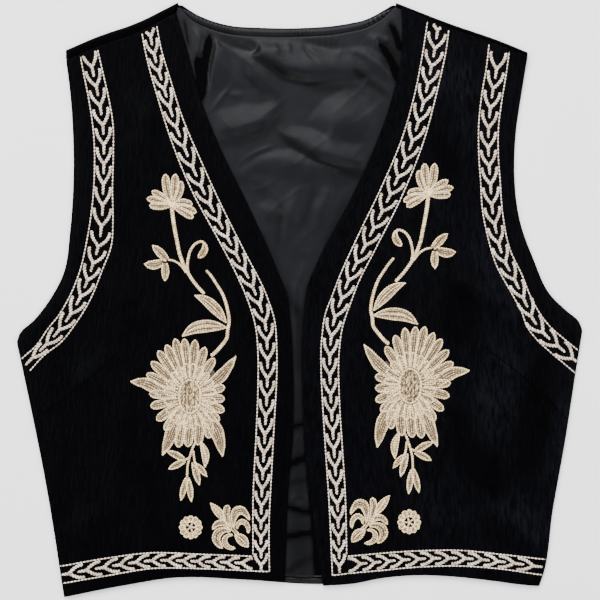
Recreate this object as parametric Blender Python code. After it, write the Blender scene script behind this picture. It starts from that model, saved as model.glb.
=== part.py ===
"""A cropped, open-front waistcoat with a satin back lining, laid flat on its back.

The model is in metres with +Z up. The neck points to +Y and the hem to -Y, and the
underside of the back rests on z = 0. The wearer's right front lies on the -X side.
Four walls lie on each other: the back panel, its lining and the two fronts. The back
rolls forward over both shoulders and meets the fronts at the shoulder seams.
"""
import math

import bmesh
import bpy
import numpy as np

MM = 0.001

# Driving sizes in millimetres
CLOTH = 1.2             # wall of the outer cloth, its turned edge included
SATIN = 1.0             # wall of the lining
SEAM_GAP = 0.3          # between pieces that meet at a seam or lie on each other
FRONT_CLEARANCE = 0.5   # between the lining and the front that lies on it
NECK_STITCH = 7.0       # from the neck edge to the stitch line that holds the lining
HEM_STITCH = 5.5        # the same at the hem
STRIP_PUFF = 0.6        # height of the lining's roll between an edge and its stitch line
LINING_SIDE_INSET = 0.02    # share of the back's width that the lining leaves at each side
LINING_NECK_INSET = 1.1     # outer cloth that shows above the lining at the neck
LINING_SHOULDER_INSET = 3.4
LINING_HEM_INSET = 1.2
EDGE_DROP_WIDTH = 7.0   # over which a front comes down onto the back at its outer edge
FOLD_FREE = 3.0         # the lining lies still this far in from a front's edge
FOLD_RISE = 22.0        # and its folds have their full height this much further in
NECK_RISE = 18.0        # the same below the neck's stitch line

# Shares of a length
FOLD_EASE = 0.3             # of a fold, over which it rises at each of its ends
NECK_EASE = 0.03            # of the back's width, over which the neck's roll begins and ends
SEAM_EASE = 0.06            # of a front's height, over which its outer edge rises to the seam
FLAP_TURN = 0.4             # of a shoulder, over which the roll's flap follows the neckline
FRONT_EDGE = (0.0, 0.035)   # of a front's width, its first columns beside the outer edge
FRONT_INNER = 0.08          # of a front's width, where its even columns start

# Levels in millimetres, each the middle of a wall
BACK_MID = CLOTH / 2
LINING_MID = CLOTH + SEAM_GAP + SATIN / 2
FRONT_MID = CLOTH + SEAM_GAP + SATIN + FRONT_CLEARANCE + CLOTH / 2
EDGE_DROP = FRONT_MID - (CLOTH + SEAM_GAP + CLOTH / 2)
ROLL_RADIUS = (FRONT_MID - BACK_MID) / 2    # of the shoulder roll, at the wall's middle
ROLL_REACH = ROLL_RADIUS + CLOTH / 2

# Counts of the grids
ROLL_STEPS = 8
BACK_ROWS = 30
SHOULDER_COLUMNS = 6
NECK_COLUMNS = 16
LINING_ROWS = 44
LINING_SHOULDER_COLUMNS = 9
LINING_NECK_COLUMNS = 26
FRONT_ROWS = 45
FRONT_COLUMNS = 21
UNDERARM_SHARE = 7 / 15     # of a side's rows lie below the underarm, on every panel
EDGE_SAMPLES = 80           # points along a curve that is looked up by x or by y
SHARP_ANGLE = 40.0          # degrees between faces, from which an edge is shaded sharp

# The cut in millimetres. Each curve is a short table with the columns x, y.
RIGHT = {   # the wearer's right, on the -X side
    "side_seam": ((-199.8, -252.2), (-214, -163), (-232.8, -69), (-240, -36)),
    "armhole": ((-240, -36), (-237, -28), (-226, -18), (-211, 1.5), (-200.4, 22),
                (-194.6, 59), (-192.2, 92), (-193.8, 167), (-197.9, 211.8)),
    "shoulder": ((-197.9, 211.8), (-172.7, 222.6), (-137, 235.3), (-103, 252.2)),
    "hem": ((-199.8, -252.2), (-165, -245), (-137, -240), (-110, -235.8), (-84, -235.1),
            (-59, -236.5), (-12.4, -239)),
    "opening": ((-12.4, -239), (-11.5, -214), (-9.8, -165), (-5.8, -116), (-5.1, -68),
                (-6.2, -36)),
    "neckline": ((-6.2, -36), (-7.7, -16), (-10.5, 3), (-18.3, 24), (-43, 79),
                 (-67.4, 129.4), (-84.4, 172.3), (-95.5, 213.3), (-104.7, 243.8)),
    "seam_drop": 8.4,   # from the shoulder fold forward to the shoulder seam
}
LEFT = {    # the wearer's left, on the +X side
    "side_seam": ((203, -242.8), (205.6, -236), (214.8, -178.4), (226.2, -113.7),
                  (236.3, -48), (240, -26)),
    "armhole": ((240, -26), (237, -18.5), (227.2, -9.9), (212.6, 4.4), (198, 35.4),
                (186.7, 67.6), (182.4, 100), (183.3, 140.4), (188.4, 176.2),
                (193.2, 209.9)),
    "shoulder": ((193.2, 209.9), (170.5, 219.2), (126.5, 234.5), (81.7, 251.9)),
    "hem": ((203, -242.8), (187, -241.3), (162, -238), (130, -234.6), (98, -233.5),
            (65, -236.7), (48, -240.2), (19.8, -242.4)),
    "opening": ((19.8, -242.4), (12.6, -197.5), (7, -152.6), (4, -118.7), (2, -83),
                (1.3, -36)),
    "neckline": ((1.3, -36), (3.3, -16), (6.5, 11), (14.3, 30.3), (42.7, 84.5),
                 (60.3, 121.8), (75.6, 162.5), (85.2, 203), (86.6, 228), (85.8, 248.4)),
    "seam_drop": 3.5,
}
BACK_HEM = ((-199.8, -252.2), (-165, -245), (-137, -240), (-110, -235.8), (-84, -235.1),
            (-50, -237.2), (18, -241.3), (50, -239.6), (65, -236.7), (98, -233.5),
            (130, -234.6), (162, -238), (187, -241.3), (203, -242.8))
BACK_NECK = ((-103, 252.2), (-85, 241), (-59, 232.8), (-35, 231.1), (0, 230.7),
             (41, 234.4), (57, 238.2), (71.5, 245.8), (81.7, 251.9))

# The largest folds in millimetres. A fold is a soft bank along a line from (x0, y0) to
# (x1, y1), bowed to its left by bow, with its own width on each side of its crest.
FOLD_FIELDS = ("x0", "y0", "x1", "y1", "bow", "left", "right", "height")
LINING_FOLDS = {
    "swag below the neck": (-54, 223, 56, 198, -11, 22, 13, 6.0),
    "shoulder of the swag": (10, 151, 66, 154, 0, 21, 20, 4.0),
    "slope to the left edge": (-18, 153, 60, 112, -2, 24, 13, 5.0),
    "bank on the right side": (-76, 149, -16, 166, -4, 18, 14, 4.5),
    "corner by the left neck": (50, 212, 86, 178, 0, 12, 9, 5.0),
    "drop from the right neck": (-70, 226, -76, 168, 0, 20, 12, 5.0),
    "band under the slope": (-46, 108, 36, 93, 0, 20, 20, 3.0),
    "soft upright, right": (-14, 90, -18, 44, 0, 10, 10, 2.4),
    "soft upright, left": (16, 106, 5, 60, 0, 10, 10, 2.4),
}
LEFT_FOLDS = {
    "chest": (110, 195, 138, 108, 0, 24, 22, 1.6),
    "below the armhole": (124, 22, 172, -6, 0, 15, 14, 1.6),
    "above the dart": (149, -32, 194, -75, 0, 14, 12, 1.9),
    "waist": (157, -66, 147, -146, 0, 15, 14, 1.8),
    "side": (213, -54, 205, -114, 0, 11, 11, 1.3),
    "above the hem": (156, -178, 208, -212, 0, 16, 16, 1.7),
}
RIGHT_FOLDS = {
    "chest": (-126, 180, -146, 92, 0, 22, 24, 1.4),
    "below the armhole": (-162, 18, -126, -28, 0, 16, 16, 1.4),
    "above the dart": (-150, -38, -194, -80, 0, 13, 14, 1.7),
    "waist": (-154, -84, -146, -154, 0, 14, 15, 1.5),
    "side": (-210, -92, -202, -154, 0, 11, 11, 1.1),
    "above the hem": (-158, -173, -200, -208, 0, 16, 16, 1.6),
}

BLACK_CLOTH = {"colour": (0.011, 0.011, 0.013), "roughness": 0.9}
BLACK_SATIN = {"colour": (0.032, 0.033, 0.037), "roughness": 0.38}


def smooth(share):
    """An even step from 0 to 1 that starts and ends level."""
    t = min(1.0, max(0.0, share))
    return t * t * (3 - 2 * t)


def curve_through(points, samples=12):
    """A function from 0..1 to the place at that share of the length of a smooth curve."""
    p = np.array(points, float)
    span = np.linalg.norm(np.diff(p, axis=0), axis=1)
    slope = np.diff(p, axis=0) / span[:, None]
    tangent = np.vstack([slope[:1], slope[-1:]]) if len(p) == 2 else np.vstack([
        slope[:1],
        (slope[:-1] * span[1:, None] + slope[1:] * span[:-1, None])
        / (span[:-1] + span[1:])[:, None],
        slope[-1:]])
    t = np.linspace(0, 1, samples, endpoint=False)[:, None]
    line = []
    for k, length in enumerate(span):
        line.append((2 * t**3 - 3 * t**2 + 1) * p[k] + (3 * t**2 - 2 * t**3) * p[k + 1]
                    + length * (t**3 - 2 * t**2 + t) * tangent[k]
                    + length * (t**3 - t**2) * tangent[k + 1])
    line = np.vstack(line + [p[-1:]])
    along = np.concatenate([[0], np.cumsum(np.linalg.norm(np.diff(line, axis=0), axis=1))])
    along /= along[-1]
    return lambda share: np.array([np.interp(share, along, line[:, 0]),
                                   np.interp(share, along, line[:, 1])])


def joined(curves, breaks):
    """One edge of several curves, where curve k covers breaks[k] to breaks[k + 1]."""
    def at(share):
        for curve, start, end in zip(curves, breaks, breaks[1:]):
            if share <= end:
                break
        return curve((share - start) / (end - start))
    return at


def patch(bottom, top, first, last):
    """A function of (u, v) that spreads points between four edges of a panel."""
    def at(u, v):
        corners = ((1 - u) * (1 - v) * bottom(0) + u * (1 - v) * bottom(1)
                   + (1 - u) * v * top(0) + u * v * top(1))
        return ((1 - v) * bottom(u) + v * top(u) + (1 - u) * first(v) + u * last(v)
                - corners)
    return at


def fold_height(x, y, folds):
    """Height of a table's folds at a point. Where two folds meet, the higher one leads."""
    total = 0.0
    for row in folds.values():
        f = dict(zip(FOLD_FIELDS, row))
        run = np.array([f["x1"] - f["x0"], f["y1"] - f["y0"]], float)
        length = np.linalg.norm(run)
        run /= length
        offset = np.array([x - f["x0"], y - f["y0"]])
        t = offset @ run / length
        if not 0 < t < 1:
            continue
        across = run[0] * offset[1] - run[1] * offset[0] - f["bow"] * 4 * t * (1 - t)
        width = f["left"] if across > 0 else f["right"]
        if abs(across) < width:
            bank = math.cos(math.pi / 2 * across / width) ** 2
            ends = smooth(t / FOLD_EASE) * smooth((1 - t) / FOLD_EASE)
            total += (f["height"] * bank * ends) ** 2
    return math.sqrt(total)


def edge_x(side):
    """A function from y to the x of a front's inner edge."""
    curves = [curve_through(side["opening"]), curve_through(side["neckline"])]
    line = np.array([curve(t) for curve in curves for t in np.linspace(0, 1, EDGE_SAMPLES)])
    return lambda y: float(np.interp(y, line[:, 1], line[:, 0]))


def edge_y(points):
    """A function from x to the y of an edge whose points run towards +X."""
    curve = curve_through(points)
    line = np.array([curve(t) for t in np.linspace(0, 1, EDGE_SAMPLES)])
    return lambda x: float(np.interp(x, line[:, 0], line[:, 1]))


def material(name, look):
    """A plain Principled finish."""
    made = bpy.data.materials.new(name)
    made.use_nodes = True
    shader = made.node_tree.nodes["Principled BSDF"]
    shader.inputs["Base Color"].default_value = (*look["colour"], 1)
    shader.inputs["Roughness"].default_value = look["roughness"]
    shader.inputs["Metallic"].default_value = 0.0
    return made


def wall(name, cells, lower, upper, look):
    """A closed wall between two like sets of points, joined round their free borders."""
    mesh = bmesh.new()
    below = [mesh.verts.new(np.array(p) * MM) for p in lower]
    above = [mesh.verts.new(np.array(p) * MM) for p in upper]
    uses = {}
    for cell in cells:
        mesh.faces.new([above[i] for i in cell])
        mesh.faces.new([below[i] for i in reversed(cell)])
        for a, b in zip(cell, cell[1:] + cell[:1]):
            uses.setdefault(frozenset((a, b)), []).append((a, b))
    for (a, b), *others in uses.values():
        if not others:
            mesh.faces.new([below[a], below[b], above[b], above[a]])
    bmesh.ops.recalc_face_normals(mesh, faces=mesh.faces)
    data = bpy.data.meshes.new(name)
    mesh.to_mesh(data)
    mesh.free()
    data.shade_smooth()
    data.set_sharp_from_angle(angle=math.radians(SHARP_ANGLE))
    data.materials.append(material(name + "_finish", look))
    piece = bpy.data.objects.new(name, data)
    bpy.context.collection.objects.link(piece)
    return piece


def grid_cells(columns, rows, start=0):
    """The four-sided cells of a grid whose points are counted row by row."""
    step = columns + 1
    corner = [start + row * step + column for row in range(rows) for column in range(columns)]
    return [(i, i + 1, i + 1 + step, i + step) for i in corner]


def back_patch():
    """The back panel's outline as a patch, with its neck points at fixed columns."""
    sides = [joined([curve_through(side["side_seam"]), curve_through(side["armhole"])],
                    (0, UNDERARM_SHARE, 1)) for side in (RIGHT, LEFT)]
    neck_start = SHOULDER_COLUMNS / (2 * SHOULDER_COLUMNS + NECK_COLUMNS)
    top = joined([curve_through(RIGHT["shoulder"]), curve_through(BACK_NECK),
                  curve_through(LEFT["shoulder"][::-1])],
                 (0, neck_start, 1 - neck_start, 1))
    return patch(curve_through(BACK_HEM), top, *sides), neck_start


def make_back():
    """The flat back and, past its shoulders, the rolls that come forward over them."""
    at, _ = back_patch()
    columns = 2 * SHOULDER_COLUMNS + NECK_COLUMNS
    shoulders = [range(0, SHOULDER_COLUMNS + 1), range(columns - SHOULDER_COLUMNS, columns + 1)]
    lower, upper = [], []
    for row in range(BACK_ROWS + 1):
        for column in range(columns + 1):
            x, y = at(column / columns, row / BACK_ROWS)
            if row == BACK_ROWS and any(column in shoulder for shoulder in shoulders):
                y -= ROLL_REACH
            lower.append((x, y, BACK_MID - CLOTH / 2))
            upper.append((x, y, BACK_MID + CLOTH / 2))
    cells = grid_cells(columns, BACK_ROWS)
    for shoulder, side in zip(shoulders, (RIGHT, LEFT)):
        edge = [BACK_ROWS * (columns + 1) + column for column in shoulder]
        neck_shift = side["neckline"][-1][0] - side["shoulder"][-1][0]
        for step in range(1, ROLL_STEPS + 2):
            angle = math.pi * min(step, ROLL_STEPS) / ROLL_STEPS
            flap = side["seam_drop"] - SEAM_GAP - ROLL_REACH if step > ROLL_STEPS else 0.0
            ring = []
            for column in shoulder:
                x, fold_y = at(column / columns, 1)
                to_neck = (column - shoulder[0]) / SHOULDER_COLUMNS
                if side is LEFT:
                    to_neck = 1 - to_neck
                if step > ROLL_STEPS:
                    x += neck_shift * smooth((to_neck - 1 + FLAP_TURN) / FLAP_TURN)
                ring.append(len(lower))
                for points, radius in ((lower, ROLL_RADIUS + CLOTH / 2),
                                       (upper, ROLL_RADIUS - CLOTH / 2)):
                    points.append((x, fold_y - ROLL_REACH + radius * math.sin(angle) - flap,
                                   BACK_MID + ROLL_RADIUS - radius * math.cos(angle)))
            cells += [(edge[k], edge[k + 1], ring[k + 1], ring[k]) for k in range(len(ring) - 1)]
            edge = ring
    return wall("back_panel", cells, lower, upper, BLACK_CLOTH)


def lining_rows(height, neck_inset):
    """The lining's rows as (share of the height, place across an edge's rolled strip)."""
    hem, neck = (LINING_HEM_INSET, HEM_STITCH), (NECK_STITCH, neck_inset)
    body = np.linspace(HEM_STITCH, height - NECK_STITCH, LINING_ROWS + 1) / height
    return [(hem[0] / height, "hem edge"), (sum(hem) / 2 / height, "hem puff"),
            *[(v, "body") for v in body],
            (1 - sum(neck) / 2 / height, "neck puff"), (1 - neck[1] / height, "neck edge")]


def make_lining():
    """The loose satin lining of the back, held at the neck and the hem by stitch lines."""
    at, neck_start = back_patch()
    right_edge, left_edge, neck_y = edge_x(RIGHT), edge_x(LEFT), edge_y(BACK_NECK)
    columns = 2 * LINING_SHOULDER_COLUMNS + LINING_NECK_COLUMNS
    spread = np.interp(np.arange(columns + 1),
                       (0, LINING_SHOULDER_COLUMNS, columns - LINING_SHOULDER_COLUMNS, columns),
                       (LINING_SIDE_INSET, neck_start, 1 - neck_start, 1 - LINING_SIDE_INSET))
    places = []
    for u in spread:
        height = at(u, 1)[1] - at(u, 0)[1]
        neck_share = (smooth((u - neck_start) / NECK_EASE)
                      * smooth((1 - neck_start - u) / NECK_EASE))
        inset = LINING_SHOULDER_INSET + (LINING_NECK_INSET - LINING_SHOULDER_INSET) * neck_share
        puffs = {"hem puff": STRIP_PUFF, "neck puff": STRIP_PUFF * neck_share}
        places.append([(*at(u, v), puffs.get(kind, 0.0))
                       for v, kind in lining_rows(height, inset)])
    lower, upper = [], []
    for row in zip(*places):
        for x, y, puff in row:
            inside = min(x - right_edge(y), left_edge(y) - x)
            still = (smooth((inside - FOLD_FREE) / FOLD_RISE)
                     * smooth((neck_y(x) - NECK_STITCH - y) / NECK_RISE))
            mid = (LINING_MID + puff * smooth(inside / EDGE_DROP_WIDTH)
                   + fold_height(x, y, LINING_FOLDS) * still)
            lower.append((x, y, mid - SATIN / 2))
            upper.append((x, y, mid + SATIN / 2))
    rows = len(places[0]) - 1
    return wall("back_lining", grid_cells(columns, rows), lower, upper, BLACK_SATIN)


def make_front(name, side, folds):
    """One front, from its outer edge to the open edge that runs up the neckline."""
    drop = np.array([0.0, side["seam_drop"]])
    armhole = [*side["armhole"][:-1], tuple(np.array(side["armhole"][-1]) - drop)]
    shoulder = [np.array(p) - drop for p in side["shoulder"]]
    shoulder[-1] = np.array(side["neckline"][-1])
    breaks = (0, UNDERARM_SHARE, 1)
    at = patch(curve_through(side["hem"]), curve_through(shoulder),
               joined([curve_through(side["side_seam"]), curve_through(armhole)], breaks),
               joined([curve_through(side["opening"]), curve_through(side["neckline"])], breaks))
    spread = [*FRONT_EDGE, *np.linspace(FRONT_INNER, 1, FRONT_COLUMNS - 1)]
    lower, upper = [], []
    for row in range(FRONT_ROWS + 1):
        v = row / FRONT_ROWS
        outer = at(0, v)
        for u in spread:
            x, y = at(u, v)
            near_edge = 1 - smooth(math.dist((x, y), outer) / EDGE_DROP_WIDTH)
            away_from_seam = smooth((1 - v) / SEAM_EASE)
            mid = (FRONT_MID - EDGE_DROP * near_edge * away_from_seam
                   + fold_height(x, y, folds))
            lower.append((x, y, mid - CLOTH / 2))
            upper.append((x, y, mid + CLOTH / 2))
    return wall(name, grid_cells(FRONT_COLUMNS, FRONT_ROWS), lower, upper, BLACK_CLOTH)


def clear_scene():
    """Removes whatever a new Blender file holds."""
    for item in list(bpy.data.objects):
        bpy.data.objects.remove(item, do_unlink=True)


def main():
    """Makes the four pieces of the waistcoat."""
    clear_scene()
    make_back()
    make_lining()
    make_front("right_front", RIGHT, RIGHT_FOLDS)
    make_front("left_front", LEFT, LEFT_FOLDS)


main()
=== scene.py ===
"""How the embroidered waistcoat looks: crinkled black cloth, satin lining, cream stitches.

Sizes are in millimetres, and a mesh is scaled to metres when it is made. +Z is up, the
neck points to +Y, and the wearer's right front lies on the -X side. The waistcoat lies
still, so every piece rides on the one body.
"""
import math

import bpy
import numpy as np
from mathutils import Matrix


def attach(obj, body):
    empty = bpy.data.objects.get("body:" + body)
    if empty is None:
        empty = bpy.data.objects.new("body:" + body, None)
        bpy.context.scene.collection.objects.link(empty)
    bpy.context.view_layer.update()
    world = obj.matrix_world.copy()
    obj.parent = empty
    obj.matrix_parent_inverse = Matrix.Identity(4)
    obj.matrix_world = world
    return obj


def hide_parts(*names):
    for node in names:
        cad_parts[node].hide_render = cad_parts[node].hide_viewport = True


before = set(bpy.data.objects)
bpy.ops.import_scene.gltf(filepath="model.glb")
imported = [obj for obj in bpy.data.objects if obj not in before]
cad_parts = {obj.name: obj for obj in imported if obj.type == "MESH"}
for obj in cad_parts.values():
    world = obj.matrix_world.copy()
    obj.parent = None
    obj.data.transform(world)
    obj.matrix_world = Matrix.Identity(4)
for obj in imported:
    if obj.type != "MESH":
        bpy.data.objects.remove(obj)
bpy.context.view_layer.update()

BODY = "root"
MM = 0.001

# The photograph is square on, so one scale places its pixels
PHOTO_SCALE = 0.847             # millimetres per pixel
PHOTO_CENTRE = (299.6, 299.8)   # the pixel over the middle of the outline
PHOTO_WIDTH = 600

# Driving sizes in millimetres, as in the solids
CLOTH = 1.2
SATIN = 1.0
SEAM_GAP = 0.3
FRONT_CLEARANCE = 0.5
NECK_STITCH = 7.0
HEM_STITCH = 5.5
STRIP_PUFF = 0.8
PUCKER_PITCH = 3.4          # along the rolled strips at the neck and hem
PUCKER_LEAN = 4.5
PUCKER_DEPTH = 0.85         # share of the puff lost between two puckers
CALM_HALF = 45.0            # half width of the strips' calmer middle
CALM_EASE = 20.0
SWELL = 1.1                 # height of the lining's broad waves
RIPPLE = 0.3                # and of its small ones
DEEP_LEVEL = 0.5            # the shade from which a deep hollow lies flat
DEEP_FLATNESS = 0.9
GAP_RISE = 0.3
GAP_EASE = 5.0
GATHER_PITCH = 5.2          # of the small gathers beside the neck strip
GATHER_REACH = 6.0
LINING_SIDE_INSET = 0.02    # share of the back's width
LINING_NECK_INSET = 1.1
LINING_SHOULDER_INSET = 3.4
LINING_HEM_INSET = 1.2
EDGE_DROP_WIDTH = 7.0
SEAM_RISE = 29.0            # over which a front's outer edge rises to the shoulder seam
BACK_MID = CLOTH / 2
LINING_MID = CLOTH + SEAM_GAP + SATIN / 2
FRONT_MID = CLOTH + SEAM_GAP + SATIN + FRONT_CLEARANCE + CLOTH / 2
EDGE_DROP = FRONT_MID - (CLOTH + SEAM_GAP + CLOTH / 2)
ROLL_RADIUS = (FRONT_MID - BACK_MID) / 2
ROLL_REACH = ROLL_RADIUS + CLOTH / 2
UNDERARM_SHARE = 7 / 15
NECK_EASE = 0.03
FLAP_TURN = 0.4             # share of a shoulder over which its flap turns to the neck
ROW_STEP = 0.2              # least distance between rows beside a roll
BACK_WAVE = (0.25, 9, 40)   # height, width and length of the back's slight waves
WAVE_SHARE = 0.2            # of a wave, left in the back's upper face

# The relief of the cloth in millimetres
BORDER_ROWS = (0.0, 0.15, 0.4, 0.8, 1.6)    # from an edge inwards, where a wall is rounded
ROUNDING = 0.8
THIN_EDGE = 0.08                            # of the wall's thickness, left at its edge
FOLD_FREE = 0.5
FOLD_RISE = 13.0
NECK_RISE = 12.0
CRINKLE = (0.2, 0.3)                        # of the wearer's right front and the left one
EDGE_STITCH = 5.5                           # from a front's edges to the stitch line there
STITCH_GROOVE = (1.1, 0.05)                 # half width and depth
WANDER = (2.5, 30, 45)          # how far the crinkles wander, and their wander's own size
FINE_CRINKLE = (2.7, 13)        # width and length of one bump
BROAD_CRINKLE = (6.5, 40)
BROAD_SHARE = 0.8

# Counts of the grids
FRONT_GRID = (122, 232)         # rows, columns
LINING_ROWS = (72, 150)         # below and above the level where the neckline starts
LINING_COLUMNS = 176
BACK_ROWS = 60
SHOULDER_COLUMNS = 36
NECK_COLUMNS = 48
ROLL_STEPS = 14
STRIP_ROWS = 11
STRIP_COLUMNS = 300

# The cut in millimetres. Each curve is a short table with the columns x, y.
RIGHT = {   # the wearer's right, on the -X side
    "side_seam": ((-199.8, -252.2), (-214, -163), (-232.8, -69), (-240, -36)),
    "armhole": ((-240, -36), (-237, -28), (-226, -18), (-211, 1.5), (-200.4, 22),
                (-194.6, 59), (-192.2, 92), (-193.8, 167), (-197.9, 211.8)),
    "shoulder": ((-197.9, 211.8), (-172.7, 222.6), (-137, 235.3), (-103, 252.2)),
    "hem": ((-199.8, -252.2), (-165, -245), (-137, -240), (-110, -235.8), (-84, -235.1),
            (-59, -236.5), (-12.4, -239)),
    "opening": ((-12.4, -239), (-11.5, -214), (-9.8, -165), (-5.8, -116), (-5.1, -68),
                (-6.2, -36)),
    "neckline": ((-6.2, -36), (-7.7, -16), (-10.5, 3), (-18.3, 24), (-43, 79),
                 (-67.4, 129.4), (-84.4, 172.3), (-95.5, 213.3), (-104.7, 243.8)),
    "seam_drop": 8.4,
}
LEFT = {    # the wearer's left, on the +X side
    "side_seam": ((203, -242.8), (205.6, -236), (214.8, -178.4), (226.2, -113.7),
                  (236.3, -48), (240, -26)),
    "armhole": ((240, -26), (237, -18.5), (227.2, -9.9), (212.6, 4.4), (198, 35.4),
                (186.7, 67.6), (182.4, 100), (183.3, 140.4), (188.4, 176.2),
                (193.2, 209.9)),
    "shoulder": ((193.2, 209.9), (170.5, 219.2), (126.5, 234.5), (81.7, 251.9)),
    "hem": ((203, -242.8), (187, -241.3), (162, -238), (130, -234.6), (98, -233.5),
            (65, -236.7), (48, -240.2), (19.8, -242.4)),
    "opening": ((19.8, -242.4), (12.6, -197.5), (7, -152.6), (4, -118.7), (2, -83),
                (1.3, -36)),
    "neckline": ((1.3, -36), (3.3, -16), (6.5, 11), (14.3, 30.3), (42.7, 84.5),
                 (60.3, 121.8), (75.6, 162.5), (85.2, 203), (86.6, 228), (85.8, 248.4)),
    "seam_drop": 3.5,
}
BACK_HEM = (*RIGHT["hem"][:5], (-50, -237.2), (18, -241.3), (50, -239.6),
            *LEFT["hem"][5::-1])
BACK_NECK = ((-103, 252.2), (-85, 241), (-59, 232.8), (-35, 231.1), (0, 230.7),
             (41, 234.4), (57, 238.2), (71.5, 245.8), (81.7, 251.9))

# The largest folds in millimetres, as in the solids: where the crest starts and ends, the
# widths on its left and right, and the height
FOLD_EASE = 0.3
BANK_EASE = 0.5
CREASE_EASE = 0.45
HOLLOW_EASE = 0.25
END_WIDTH = 0.45                # of a crease's width, left at its ends
WARPS = ((3.5, 34), (1.2, 11))  # reach and size of the noise that bends the lining's banks
LEFT_FOLDS = {
    "chest": (110, 195, 138, 108, 24, 22, 1.6),
    "below the armhole": (124, 22, 172, -6, 15, 14, 1.6),
    "above the dart": (149, -32, 194, -75, 14, 12, 1.9),
    "waist": (157, -66, 147, -146, 15, 14, 1.8),
    "side": (213, -54, 205, -114, 11, 11, 1.3),
    "above the hem": (156, -178, 208, -212, 16, 16, 1.7),
}
RIGHT_FOLDS = {
    "chest": (-126, 180, -146, 92, 22, 24, 1.4),
    "below the armhole": (-162, 18, -126, -28, 16, 16, 1.4),
    "above the dart": (-150, -38, -194, -80, 13, 14, 1.7),
    "waist": (-154, -84, -146, -154, 14, 15, 1.5),
    "side": (-210, -92, -202, -154, 11, 11, 1.1),
    "above the hem": (-158, -173, -200, -208, 16, 16, 1.6),
}

# The lining's folds and the smaller creases, placed on the photograph's pixels. Each
# is (points along it, width on its left, width on its right, height), the last three in
# millimetres. The banks are the solid's folds, drawn along their true lines.
LINING_BANKS = (
    (((206, 24), (240, 40), (272, 57), (300, 68), (325, 72), (352, 73), (392, 66)), 26, 12,
     4.8),
    (((222, 42), (250, 64), (272, 88), (290, 120)), 15, 8, 2.4),
    (((190, 133), (222, 131), (248, 124), (268, 111), (290, 84)), 27, 10, 4.2),
    (((290, 112), (318, 117), (342, 122), (368, 121), (398, 108)), 30, 26, 3.8),
    (((336, 100), (337, 128), (326, 160)), 18, 11, 2.0),
    (((266, 118), (288, 134), (308, 146), (330, 157), (356, 163), (392, 158)), 22, 11, 4.2),
    (((222, 184), (256, 166), (286, 160), (312, 168), (338, 184), (366, 188)), 13, 18, 2.0),
    (((292, 180), (289, 212), (283, 254)), 10, 10, 1.8),
    (((332, 170), (323, 200), (312, 238)), 10, 10, 1.6),
    (((338, 52), (366, 61), (386, 75), (404, 98)), 12, 8, 3.0),
    (((214, 22), (215, 58), (208, 106)), 18, 9, 3.2),
    (((360, 34), (384, 50), (408, 60)), 10, 10, 2.6),
    (((188, 10), (196, 36), (204, 70)), 8, 7, 2.2),
    (((246, 224), (268, 214), (290, 228)), 11, 12, 1.2),
    (((308, 258), (305, 278), (299, 300)), 6, 7, 1.2),
)
LINING_CREASES = (
    (((208, 117), (220, 100), (233, 83)), 3.2, 2.4, 1.1),
    (((232, 171), (248, 157), (262, 150), (286, 142)), 3.4, 2.4, 1.1),
    (((240, 63), (251, 50), (262, 37)), 2.2, 2, 0.5),
    (((300, 40), (308, 52), (322, 66)), 3, 3, -1.2),
    (((243, 188), (245, 193), (247, 198)), 2.6, 2.2, 0.9),
    (((293, 280), (298, 290), (305, 300)), 4, 4, 0.9),
    (((294, 326), (298, 338), (300, 351)), 3.4, 3, 0.7),
    (((272, 38), (276, 48), (282, 58)), 3, 2.4, 0.9),
    (((286, 36), (288, 46), (292, 56)), 3, 2.4, 0.9),
    (((222, 92), (236, 96), (252, 92)), 6, 5, 0.9),
)
# Painted shade on the lining, where it turns from the light: (points, left width, right
# width, shade)
PAINTED_SHADES = (
    (((183, 12), (186, 30), (190, 52)), 3.5, 4.5, 1.0),
    (((386, 16), (396, 46), (402, 82)), 5.0, 12.0, 0.8),
    (((238, 42), (270, 64), (300, 79), (330, 87), (376, 82)), 6.0, 11.0, 0.72),
    (((240, 66), (258, 88), (272, 112)), 5.0, 7.0, 0.4),
    (((268, 118), (298, 147), (322, 161), (348, 172), (390, 172)), 7.0, 11.0, 0.78),
    (((200, 140), (238, 141), (264, 131), (290, 104)), 6.0, 10.0, 0.62),
    (((348, 64), (368, 80), (394, 99)), 5.0, 7.0, 0.87),
    (((286, 66), (308, 78), (322, 98)), 7.0, 7.0, 0.25),
    (((222, 176), (248, 182), (274, 200)), 8.0, 10.0, 0.35),
    (((285, 190), (281, 220), (276, 254)), 5.0, 6.0, 0.4),
    (((314, 182), (308, 206), (298, 238)), 6.0, 6.0, 0.4),
    (((350, 190), (336, 222), (322, 256)), 8.0, 8.0, 0.45),
    (((254, 220), (272, 256), (290, 294)), 8.0, 8.0, 0.4),
    (((280, 280), (290, 300), (302, 320)), 7.0, 8.0, 0.8),
    (((310, 290), (304, 318), (300, 338)), 5.0, 6.0, 0.6),
    (((299, 296), (299, 330), (299, 356), (300, 384)), 9.0, 9.0, 0.6),
    (((299, 340), (299, 420), (299, 500), (300, 620)), 16.0, 16.0, 0.55),
)
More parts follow.
